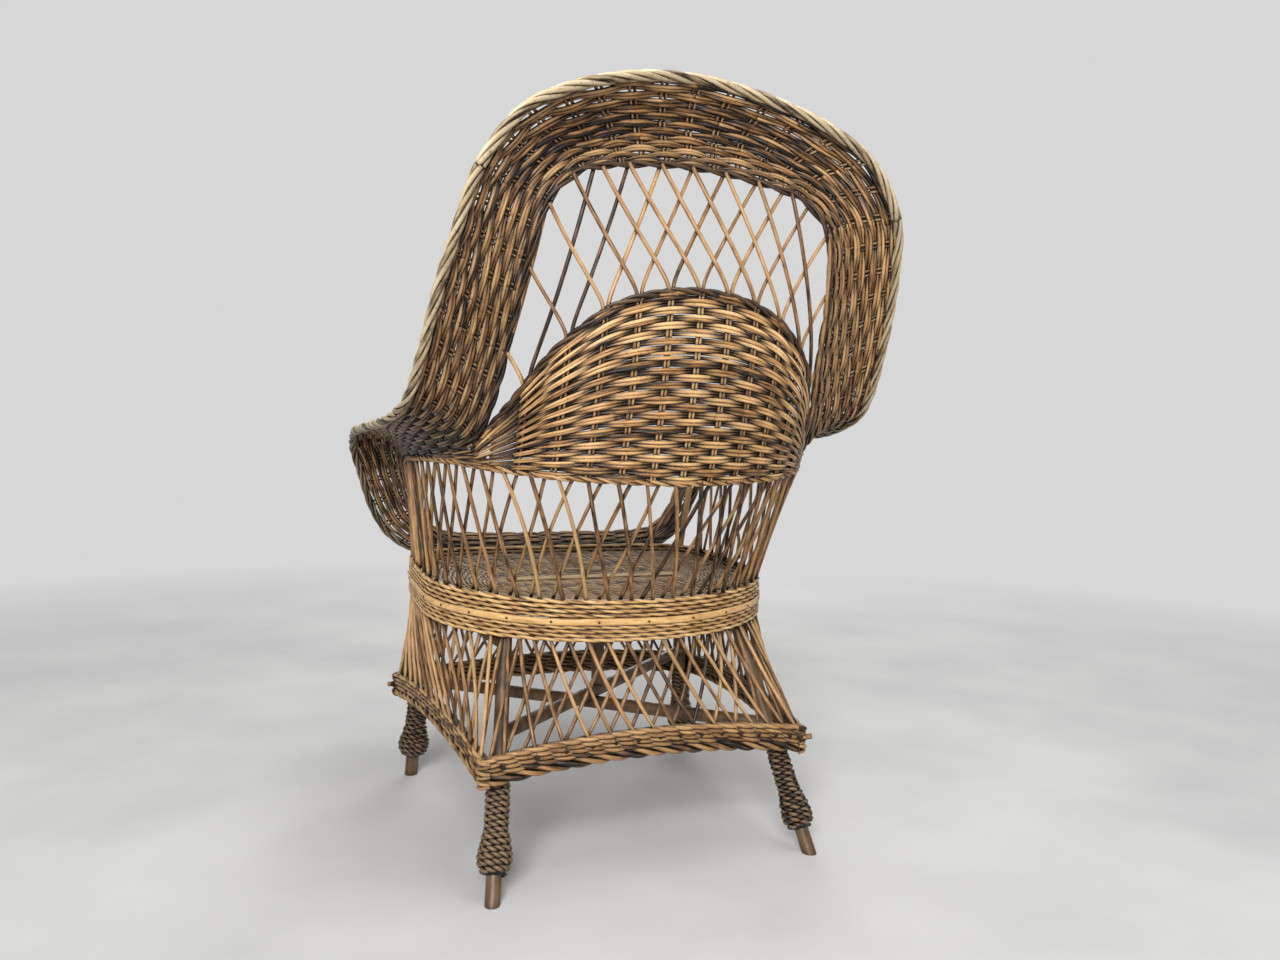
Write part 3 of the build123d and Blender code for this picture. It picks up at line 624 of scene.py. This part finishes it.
def lattice_rod(bundle, surface, start, shift, offset, end_into, age):
    # A rod that leans across an open wall, a little bowed, with painted shade where it enters a band.
    h = np.linspace(-end_into, 1 + end_into, 14)
    bow = bundle.random.normal(0, 0.0025)
    path = metres(surface(start + shift * (h - 0.5) + bow * np.sin(math.pi * h), h, offset))
    thick = LATTICE_R * bundle.random.uniform(0.9, 1.1)
    end_shade = 0.3 * np.exp(-np.minimum(h, 1 - h) / 0.05)
    bundle.rod(path, thick * (1 + 0.06 * (0.5 - h)), age=age + end_shade, sides=8)


def make_skirt(name, seed):
    # One side of the skirt: its crossing rods, then its bottom edge.
    start, end, angle_a, angle_b = SIDES[name]
    start, end = np.array(start), np.array(end)
    run = unit(end - start)
    out = np.array([run[1], -run[0], 0.0])
    middle = (start + end) / 2
    if out @ (middle - (0, WAIST_Y, middle[2])) < 0:
        out = -out

    def surface(u, h, offset):
        top = waist_point(waist_angle(angle_a, angle_b, u), WALE_T / 2 - offset, SKIRT_TOP)
        low = start + (end - start) * u[:, None] + out * offset
        low[:, 2] = SKIRT_Z + BRAID_H + braid_height(u)
        return top + (low - top) * h[:, None]

    bundle = Bundle(seed)
    for offset, lean in ((LAYER, -1), (-LAYER, 1)):
        for i in range(SKIRT_RODS):
            u = (i + 0.5) / SKIRT_RODS
            ease = 1 - (2 * u - 1) ** 4
            # the inner layer is darker with painted shade, as it lies behind the outer one
            lattice_rod(bundle, surface, u, lean * SKIRT_SHIFT * ease, offset, 0.07,
                        age=0.12 if lean > 0 else 0.0)
    bundle.finish(f"skirt_rods_{name}", LATTICE_WILLOW, "lattice_rod", f"skirt_lattice_{name}")

    # the bottom edge: rows of thick rods over a braid of slanting strands
    past = HEM_PAST / np.linalg.norm(end - start)
    share = np.linspace(-past, 1 + past, 160)
    line = start + (end - start) * share[:, None]
    hem = Bundle(seed + 50)
    normal = np.broadcast_to(out, line.shape)
    for row in range(HEM_ROWS):
        path = line.copy()
        path[:, 2] = SKIRT_Z + HEM_LOW + row * HEM_PITCH + braid_height(share)
        rope(hem, metres(path), normal, strands=3, lay=0.0048, thick=0.0033, pitch=0.074, tall=0.3,
             phase=1.7 * row + 0.4, age=0.06)
    path = line.copy()
    path[:, 2] = SKIRT_Z + HEM_BRAID + braid_height(share)
    rope(hem, metres(path), normal, strands=3, lay=0.0052, thick=0.0038, pitch=0.088, tall=0.9, age=0.05)
    hem.finish(f"skirt_hem_{name}", SKIRT_WILLOW, "weave_border", f"skirt_braid_{name}")


for seed, name in enumerate(SIDES):
    make_skirt(name, 200 + seed)


def corner_wraps():
    # Rods that bind each skirt corner, and the cut ends that stand proud of two of them.
    bundle = Bundle(260)
    for x, y, _ in (CORNER_REAR, flip(CORNER_REAR), CORNER_FRONT, flip(CORNER_FRONT)):
        out = unit(np.array([x, y - 30, 0.0]))
        side = np.array([-out[1], out[0], 0.0])
        for row, height in enumerate(BINDING_HEIGHTS):
            t = np.linspace(-1, 1, 13)
            line = np.array([x, y, SKIRT_Z + height]) + side * (t * BINDING_HALF)[:, None]
            line = line + out * (BINDING_OUT - BINDING_BEND * t ** 2)[:, None] * (1.0 if row % 2 else 0.8)
            line[:, 2] += 2.0 * t * (-1) ** row
            bundle.rod(metres(line), 0.0030, age=0.15)
    for (x, y, _), way in PROUD_ENDS:
        way = unit(np.array(way, float))
        start = np.array([x, y, SKIRT_Z + PROUD_HEIGHT])
        reach = np.linspace(0, PROUD_LENGTH, 6)[:, None]
        bundle.rod(metres(start + way * reach), 0.0046, age=0.2, sides=10)
    bundle.finish("skirt_corners", SKIRT_WILLOW, "weave_border")


corner_wraps()


# ---- wall between the waist and the arms ---------------------------------------------------------
POST_ANGLE = math.radians(-43)
SIDE_RODS, SIDE_SHIFT = 38, 1.5


def wall(u, h, offset):
    # A point of the wall: u runs from post to post round the back, h from the waist to the arms.
    low = waist_point(waist_angle(POST_ANGLE, math.pi - POST_ANGLE, u), WALE_T / 2 - offset, 0.0)
    top, run = chain_at(RING, u)
    out = unit(np.cross(run, (0, 0, 1)))
    top = top + out * offset
    return low + (top - low) * h[:, None]


def make_wall():
    third = SIDE_RODS // 3
    seed = 300
    for part, first, last in (("left", 1, third), ("rear", third, SIDE_RODS - third),
                              ("right", SIDE_RODS - third, SIDE_RODS - 1)):
        for layer, offset, lean in (("outer", LAYER, -1), ("inner", -LAYER, 1)):
            bundle = Bundle(seed)
            seed += 1
            for i in range(first, last):
                u = (i + 0.5) / SIDE_RODS
                ease = 1 - (2 * u - 1) ** 8
                # the inner layer is darker with painted shade, as it lies behind the outer one
                lattice_rod(bundle, wall, u, lean * SIDE_SHIFT / SIDE_RODS * ease, offset, 0.012,
                            age=0.22 if lean > 0 else 0.04)
            bundle.finish(f"wall_rods_{layer}_{part}", LATTICE_WILLOW, "lattice_rod",
                          f"side_lattice_{layer}_{part}")


make_wall()


def make_arm_ring():
    bundle = Bundle(320)
    path = resampled(metres(RING), 0.005)
    out = unit(np.cross(unit(np.gradient(path, axis=0)), (0, 0, 1)))
    rope(bundle, path, out, strands=3, lay=0.0038, thick=0.0029, pitch=0.07, tall=0.8, age=0.15)
    bundle.finish("arm_ring_weave", BACK_WILLOW, "edge_rod", "arm_ring")


make_arm_ring()


# ---- woven back ----------------------------------------------------------------------------------
BACK_TIP, BACK_PITCH = 262.0, 42.5
BACK_BULGE, BULGE_TALL = 8.0, 240.0      # the bulge is full where the panel is this tall
BACK_ROWS = 26
BACK_WAVE, BACK_ROD_R = 2.9, 0.00255
BACK_SAMPLES = 7             # points between one stake and the next
STAKE_GAP = 2.4              # half the distance between the two stakes of a pair
HALF_ROWS = (-0.25, 0.25)    # each row is two rods, side by side
CROWDED, PACKED, FULL = 4.2, 2.2, 0.8    # row spacings at which rows drop out
RUN_LEAST, RUN_BELOW = 4, 9              # stakes that one rod passes before the next takes over
DOME_LINE, RING_LINE = smooth(DOME, 2.0), smooth(RING, 2.0)


def line_at_x(line, x):
    # y and z of a line at the given x.
    order = np.argsort(line[:, 0])
    return [np.interp(x, line[order, 0], line[order, k]) for k in (1, 2)]


REAR_RING = RING_LINE[RING_LINE[:, 1] > 150]


def back_panel(x, h):
    # A point of the back panel: h runs from the arm-level ring to its arched top.
    low_y, low_z = line_at_x(REAR_RING, x)
    top_y, top_z = line_at_x(DOME_LINE, x)
    bulge = BACK_BULGE * (top_z - low_z) / BULGE_TALL * 4 * h * (1 - h)
    return np.stack([x + 0 * h, low_y + (top_y - low_y) * h + bulge, low_z + (top_z - low_z) * h], -1)


def back_normal(x, h):
    along = back_panel(x + 2, h) - back_panel(x - 2, h)
    up = back_panel(x, np.minimum(h + 0.02, 1)) - back_panel(x, np.maximum(h - 0.02, 0))
    return unit(np.cross(up, along))


def row_reach(row):
    # How far out a row runs: near the tips, where the panel narrows, rows drop out in turn.
    x = np.linspace(0, BACK_TIP - 3, 400)
    tall = line_at_x(DOME_LINE, x)[1] - line_at_x(REAR_RING, x)[1]
    least = (FULL, CROWDED, PACKED, CROWDED)[row % 4] * BACK_ROWS
    if row == 0 or row == BACK_ROWS - 1:
        return x[-1]
    return x[np.nonzero(tall > least)[0][-1]] if (tall > least).any() else 0


def row_thickness(x):
    # Rods thin out where the rows crowd together, and thicken again where rows have dropped out.
    pitch = (line_at_x(DOME_LINE, x)[1] - line_at_x(REAR_RING, x)[1]) / BACK_ROWS
    spacing = pitch * np.where(pitch > CROWDED, 1, np.where(pitch > PACKED, 2, 4))
    return np.clip(spacing / 7.6, 0.7, 1.1)


def weave_rods(bundle, path, out, breaks, radius, age):
    # One row, made of rods that end behind stakes.
    edges = [0, *breaks, len(path) - 1]
    for a, b in zip(edges, edges[1:]):
        if b - a < 3:
            continue
        thick = radius[a:b + 1] * bundle.random.uniform(0.93, 1.08)
        bundle.rod(path[a:b + 1], thick, age=age[a:b + 1], normal=out[a:b + 1])


def over_under(wave):
    # A rod lies flat over each stake and dives quickly between stakes.
    return np.sign(wave) * np.abs(wave) ** 0.75


def break_points(random, wave):
    # Sample numbers where a rod lies behind a stake and may end.
    low = [i for i in range(1, len(wave) - 1) if wave[i] <= wave[i - 1] and wave[i] < wave[i + 1]]
    breaks, at = [], random.integers(2, RUN_BELOW)
    while at < len(low):
        breaks.append(low[at])
        at += random.integers(RUN_LEAST, RUN_BELOW)
    return breaks


def make_back():
    bundle = Bundle(400)
    for row in range(BACK_ROWS):
        reach = row_reach(row)
        x = np.arange(-reach, reach + 1, BACK_PITCH / BACK_SAMPLES)
        for half in HALF_ROWS:
            h = np.full(len(x), (row + 0.5 + half) / BACK_ROWS)
            h = h + bundle.random.normal(0, 0.0012) + 0.0012 * np.sin(x / 31 + row * 1.9)
            wave = np.cos(math.pi * (x / BACK_PITCH + row))
            out = back_normal(x, h)
            path = metres(back_panel(x, h) + out * (BACK_WAVE * over_under(wave))[:, None])
            # painted shade where a rod dives behind a stake, and towards the panel's tips
            age = 0.36 * (1 - wave) + 0.1 * (np.abs(x) > 200)
            breaks = break_points(bundle.random, wave)
            weave_rods(bundle, path, out, breaks, BACK_ROD_R * row_thickness(x), age)
    h = np.linspace(-0.01, 1.0, 30)
    for k in range(-5, 6):
        for lean in (-1, 1):
            x = np.full(30, k * BACK_PITCH + lean * STAKE_GAP)
            bundle.rod(metres(back_panel(x, h)), 0.0024, age=0.3, sides=8)
    bundle.finish("back_weave", BACK_WILLOW, "weave_back", "back_panel")

    top = Bundle(401)
    path = resampled(metres(DOME_LINE), 0.005)
    out = np.broadcast_to((0.0, 1.0, 0.0), path.shape)
    rope(top, path, out, strands=3, lay=0.0034, thick=0.0026, pitch=0.085, tall=0.9, age=0.1)
    top.finish("back_top_twist", DARK_WILLOW, "edge_rod", "back_top_rod")


make_back()


# ---- upper lattice -------------------------------------------------------------------------------
UPPER_LEAN, UPPER_LAYER, UPPER_SPREAD, UPPER_SHORTEST = 0.588, 2.9, 3.0, 25.0
UPPER_ROD_R = 0.0028
UPPER_STEP = 4.0             # height between the points of a rod
UPPER_BEND = 12.0            # a rod rises straight over this height before it leans
UPPER_PART = 14.0            # the height over which the two layers draw apart
UPPER_REACH = 272.0          # no rod runs further out than this
THROAT_LINE = smooth(both_sides(HALF[12:, 0]), 2.0)


def upper_wall(x, z):
    # How far back the open wall lies, between the back panel's top and the collar's inner edge.
    low_y, low_z = line_at_x(DOME_LINE, x)
    top_y, top_z = line_at_x(THROAT_LINE, x)
    t = np.clip((z - low_z) / np.maximum(top_z - low_z, 1), 0, 1)
    return low_y + (top_y - low_y) * t


def make_upper_lattice():
    count = int(BACK_TIP / BACK_PITCH)
    for layer, offset, lean, seed in (("outer", UPPER_LAYER, 1, 420), ("inner", -UPPER_LAYER, -1, 421)):
        bundle = Bundle(seed)
        for k in range(-count, count + 1):
            foot = k * BACK_PITCH + lean * UPPER_SPREAD
            base_z = float(line_at_x(DOME_LINE, foot)[1])
            rise = np.arange(-6.0, 400.0, UPPER_STEP)
            bend = UPPER_BEND * (1 - np.exp(-np.maximum(rise, 0) / UPPER_BEND))
            eased = np.where(rise > 0, rise - bend, 0)
            steep = 1 - 0.75 * (abs(foot) / BACK_TIP) ** 1.3 if lean * foot < 0 else 1.05
            x = foot + lean * UPPER_LEAN * steep * eased
            z = base_z + rise
            above = line_at_x(THROAT_LINE, x)[1]
            inside = (z < above + 3) & (np.abs(x) < UPPER_REACH)
            end = len(z) if inside.all() else int(np.argmin(inside))
            if end * UPPER_STEP < UPPER_SHORTEST:
                continue
            x, z = x[:end], z[:end]
            near = np.exp(-np.maximum(rise[:end], 0) / UPPER_PART)
            y = upper_wall(x, z) + offset * (1 - near)
            # painted shade at both ends of the rod
            end_shade = 0.35 * np.exp(-np.minimum(np.arange(end), np.arange(end)[::-1]) / 3.0)
            thick = UPPER_ROD_R * bundle.random.uniform(0.92, 1.08)
            bundle.rod(metres(np.stack([x, y, z], -1)), thick, age=end_shade + 0.05, sides=8)
        bundle.finish(f"upper_rods_{layer}", LATTICE_WILLOW, "lattice_rod", f"upper_lattice_{layer}")


make_upper_lattice()


def make_throat():
    bundle = Bundle(430)
    path = smooth(metres(both_sides(HALF[13:, 0])), 0.005)
    out = np.broadcast_to((0.0, 1.0, 0.0), path.shape)
    rope(bundle, path, out, strands=2, lay=0.0026, thick=0.0027, pitch=0.09, age=0.2)
    bundle.finish("throat_twist", DARK_WILLOW, "edge_rod", "throat_rod")


make_throat()


# ---- rolled collar -------------------------------------------------------------------------------
COLLAR_STAKE, COLLAR_ROWS = 40.0, 13
COLLAR_WAVE, COLLAR_ROD_R = 0.0029, 0.0029      # in metres, as the collar's points are
CORNER, ELBOW, ROOT, SHOULDER = 2, 7, 12, 17    # stations where one piece meets the next
COLLAR_LAP = 0.12            # how far the rods of one piece run into the next, in stake pitches
COLLAR_SAMPLES = 7           # points between one stake and the next
COLLAR_EVEN = 0.022          # moves the rows to an even distance over the curved width


def collar_at(u, v):
    # A point of the collar: u counts stations round it, v runs from the inner to the outer edge.
    inner, crown, outer = np.moveaxis(curve_at(COLLAR, u, True), 1, 0)
    lift = 2 * crown - (inner + outer) / 2
    v = np.asarray(v, float).reshape(-1, 1)
    return (1 - v) ** 2 * inner + 2 * v * (1 - v) * lift + v ** 2 * outer


def collar_normal(u, v):
    along = collar_at(u + 0.05, v) - collar_at(u - 0.05, v)
    across = collar_at(u, np.minimum(v + 0.03, 1)) - collar_at(u, np.maximum(v - 0.03, 0))
    return unit(np.cross(across, along))


ROUND_U = np.linspace(0, STATIONS, STATIONS * 40 + 1)
ROUND_CROWN = collar_at(ROUND_U, np.full(len(ROUND_U), 0.5))
ROUND_LENGTH = running_length(ROUND_CROWN)
STAKE_COUNT = 2 * int(round(ROUND_LENGTH[-1] / COLLAR_STAKE * 500))


def stake_to_station(s):
    # Stakes are counted evenly by length round the collar, and stations as they are listed.
    turns = np.floor(s / STAKE_COUNT)
    along = (s / STAKE_COUNT - turns) * ROUND_LENGTH[-1]
    return turns * STATIONS + np.interp(along, ROUND_LENGTH, ROUND_U)


def station_to_stake(u):
    return np.interp(u, ROUND_U, ROUND_LENGTH) / ROUND_LENGTH[-1] * STAKE_COUNT


def collar_shade_and_dirt(u, v):
    # Darker by the inner edge, with painted shade where the roll turns from the light; darker on the lip
    # and along the arms, partly painted shade and partly dirt.
    side = np.minimum(u, STATIONS - u)
    low = np.interp(side, (0, 2, 7, 9, 12, 14, 17, 22), (0.3, 0.28, 0.2, 0.26, 0.3, 0.12, 0.02, 0.0))
    return low + 0.28 * np.exp(-v / 0.1) + 0.08 * (1 - v)


def weave_collar(name, spans, seed, replaced):
    # One piece of the collar: pairs of rods woven over and under pairs of stakes.
    bundle = Bundle(seed)
    for first, last in spans:
        s_first = station_to_stake(first) - COLLAR_LAP
        s_last = station_to_stake(last) + COLLAR_LAP
        s = np.linspace(s_first, s_last, int((s_last - s_first) * COLLAR_SAMPLES) + 1)
        u = stake_to_station(s)
        for row in range(COLLAR_ROWS):
            for half in HALF_ROWS:
                share = 0.025 + 0.95 * (row + 0.5 + half) / COLLAR_ROWS
                v = np.full(len(s), share - COLLAR_EVEN * math.sin(TAU * share))
                v = v + bundle.random.normal(0, 0.003) + 0.003 * np.sin(s * 1.3 + row * 2.1)
                wave = np.cos(math.pi * (s + row))
                out = collar_normal(u, v)
                path = collar_at(u, v) + out * (COLLAR_WAVE * over_under(wave))[:, None]
                # painted shade where a rod dives under a stake
                age = collar_shade_and_dirt(u, v) + 0.3 * (1 - np.abs(wave)) + 0.08 * (1 - wave)
                breaks = break_points(bundle.random, wave)
                weave_rods(bundle, path, out, breaks, np.full(len(u), COLLAR_ROD_R), age)
        for k in range(math.ceil(s_first), math.floor(s_last) + 1):
            for side in (-0.08, 0.08):
                v = np.linspace(0.0, 1.0, 14)
                u_k = np.full(14, stake_to_station(k + side))
                bundle.rod(collar_at(u_k, v), 0.0023, age=collar_shade_and_dirt(u_k, v) + 0.25)
        if min(first, STATIONS - last) < SHOULDER:
            # every piece below the hood has a dark twist along its inner edge
            edge = resampled(collar_at(u, np.full(len(u), 0.0)), 0.006)
            out = np.broadcast_to((0.3, 0.5, 0.8), edge.shape)
            rope(bundle, edge, out, strands=2, lay=0.0026, thick=0.0028, pitch=0.09, age=0.8)
    if name.startswith("arm_weave"):
        fill_tip(bundle, 1 if name.endswith("left") else -1)
    bundle.finish(name, COLLAR_WILLOW, "weave_collar", replaced)


FILL_RODS = 6
FILL_LOW = ((300, 60, 590), (294, 130, 591), (279, 195, 589), (262, 245, 585), (240, 275, 582))


def fill_tip(bundle, side):
    # Dark rods that close the gap between the arm's inner edge and the arm-level ring.
    ring = smooth(FILL_LOW, 4.0)
    edge = smooth(HALF[10:15, 0], 4.0)
    t = np.linspace(0, 1, 40)
    low, _ = chain_at(ring, t)
    high, _ = chain_at(edge, t * 0.72)
    for row in range(FILL_RODS):
        share = (row + 0.4) / FILL_RODS
        path = low + (high - low) * share
        path[:, 0] += 1.6 * np.cos(t * 16 + row * math.pi)
        bundle.rod(metres(path * (side, 1, 1)), 0.0026, age=0.4 + 0.3 * bundle.random.random())


def border_braid(name, spans, seed, replaced):
    # Long slanting strands plaited along the outer edge.
    bundle = Bundle(seed)
    for first, last in spans:
        u = np.linspace(first, last, int(abs(last - first) * 60) + 1)
        path = resampled(collar_at(u, np.full(len(u), 0.985)), 0.005)
        at = np.linspace(0, len(u) - 1, len(path)).round().astype(int)
        out = collar_normal(u[at], np.full(len(at), 0.97))
        side = np.minimum(u[at], STATIONS - u[at])
        worn = np.interp(side, (0, 6, 9, 13, 22), (0.4, 0.3, 0.2, 0.04, 0.0))
        rope(bundle, path, out, strands=4, lay=0.0044, thick=0.0034, pitch=0.13, tall=0.95, age=worn)
    bundle.finish(name, BORDER_WILLOW, "weave_border", replaced)


LIP = [(0, CORNER), (STATIONS - CORNER, STATIONS)]
HOOD = [(SHOULDER, STATIONS - SHOULDER)]
PARTS = (("arm_front", CORNER, ELBOW), ("arm", ELBOW, ROOT), ("wing", ROOT, SHOULDER))
weave_collar("lip_weave", LIP, 500, "seat_lip")
weave_collar("hood_weave", HOOD, 501, "hood")
border_braid("lip_border", LIP, 520, "border_lip")
border_braid("hood_border", HOOD, 521, "border_hood")
for number, (part, first, last) in enumerate(PARTS):
    left, right = [(first, last)], [(STATIONS - last, STATIONS - first)]
    weave_collar(f"{part}_weave_left", left, 502 + number, f"{part}_left")
    weave_collar(f"{part}_weave_right", right, 506 + number, f"{part}_right")
    border_braid(f"{part}_border_left", left, 522 + number, f"border_{part}_left")
    border_braid(f"{part}_border_right", right, 526 + number, f"border_{part}_right")


# ---- finishes of the pieces that stay as they are ------------------------------------------------
FINISHES = {"leg": STICK_WOOD, "stretcher": STICK_WOOD, "centre_post": STICK_WOOD, "seat_rail": RAIL_WOOD,
            "waist_nails": NAIL_IRON, "front_post": POST_WILLOW}
for name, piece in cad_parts.items():
    for start, material in FINISHES.items():
        if name.startswith(start) and not name.startswith("leg_wrap"):
            piece.data.materials.clear()
            piece.data.materials.append(material)


# ---- floor and light -----------------------------------------------------------------------------
BACKDROP = colour(214, 214, 214)
FLOOR_RADIUS, FLOOR_SIDES = 14, 64
FADE_FROM, FADE_TO = 1.2, 3.4    # the floor turns into the backdrop between these distances
ROOM_LIGHT = 0.27
# name, place, the point that it faces, width and watts
LAMPS = (("key", (1.5, 3.0, 2.0), (0, 0, 0.6), 1.6, 142),
         ("top", (-0.5, 0.4, 3.2), (0, 0, 0.5), 2.0, 38),
         ("front", (-1.4, -3.0, 1.6), (0, 0, 0.6), 2.0, 44))


def make_floor():
    mesh = bpy.data.meshes.new("floor")
    turn = [TAU * k / FLOOR_SIDES for k in range(FLOOR_SIDES)]
    rim = [(FLOOR_RADIUS * math.cos(a), FLOOR_RADIUS * math.sin(a), 0) for a in turn]
    mesh.from_pydata(rim, [], [tuple(range(FLOOR_SIDES))])
    material = bpy.data.materials.new("pale_floor")
    material.use_nodes = True
    tree = material.node_tree
    shader = tree.nodes["Principled BSDF"]
    place = tree.nodes.new("ShaderNodeTexCoord").outputs["Object"]
    cloud = ranged(tree, noise(tree, place, 2.5, 6.0), 0.35, 0.65, 0.0, 1.0)
    pale = mixed(tree, cloud, colour(198, 198, 198), colour(212, 212, 211))
    tree.links.new(pale, shader.inputs["Base Color"])
    shader.inputs["Roughness"].default_value = 0.9
    shader.inputs["Specular IOR Level"].default_value = 0.0
    away = node(tree, "ShaderNodeVectorMath", operation="LENGTH")
    tree.links.new(place, away.inputs[0])
    far = node(tree, "ShaderNodeEmission", Color=BACKDROP, Strength=1.0)
    mix = tree.nodes.new("ShaderNodeMixShader")
    tree.links.new(ranged(tree, away.outputs["Value"], FADE_FROM, FADE_TO, 0.0, 1.0), mix.inputs["Fac"])
    tree.links.new(shader.outputs["BSDF"], mix.inputs[1])
    tree.links.new(far.outputs["Emission"], mix.inputs[2])
    tree.links.new(mix.outputs["Shader"], tree.nodes["Material Output"].inputs["Surface"])
    mesh.materials.append(material)
    floor = bpy.data.objects.new("floor", mesh)
    bpy.context.scene.collection.objects.link(floor)


def soft_lamp(name, place, aim, size, power):
    data = bpy.data.lights.new(name, "AREA")
    data.size = size
    data.energy = power
    lamp = bpy.data.objects.new(name, data)
    lamp.location = place
    lamp.rotation_euler = (Vector(aim) - Vector(place)).to_track_quat("-Z", "Y").to_euler()
    bpy.context.scene.collection.objects.link(lamp)


def make_world():
    world = bpy.data.worlds.new("pale_room")
    bpy.context.scene.world = world
    world.use_nodes = True
    tree = world.node_tree
    seen = tree.nodes.new("ShaderNodeLightPath")
    room = tree.nodes["Background"]
    room.inputs["Color"].default_value = (1.0, 1.0, 1.0, 1.0)
    room.inputs["Strength"].default_value = ROOM_LIGHT
    backdrop = node(tree, "ShaderNodeBackground", Color=BACKDROP, Strength=1.0)
    mix = tree.nodes.new("ShaderNodeMixShader")
    shown = maths(tree, "MAXIMUM", seen.outputs["Is Camera Ray"], seen.outputs["Is Glossy Ray"])
    tree.links.new(shown, mix.inputs["Fac"])
    tree.links.new(room.outputs["Background"], mix.inputs[1])
    tree.links.new(backdrop.outputs["Background"], mix.inputs[2])
    tree.links.new(mix.outputs["Shader"], tree.nodes["World Output"].inputs["Surface"])


make_floor()
for lamp in LAMPS:
    soft_lamp(*lamp)
make_world()
bpy.context.scene.view_settings.view_transform = "Standard"
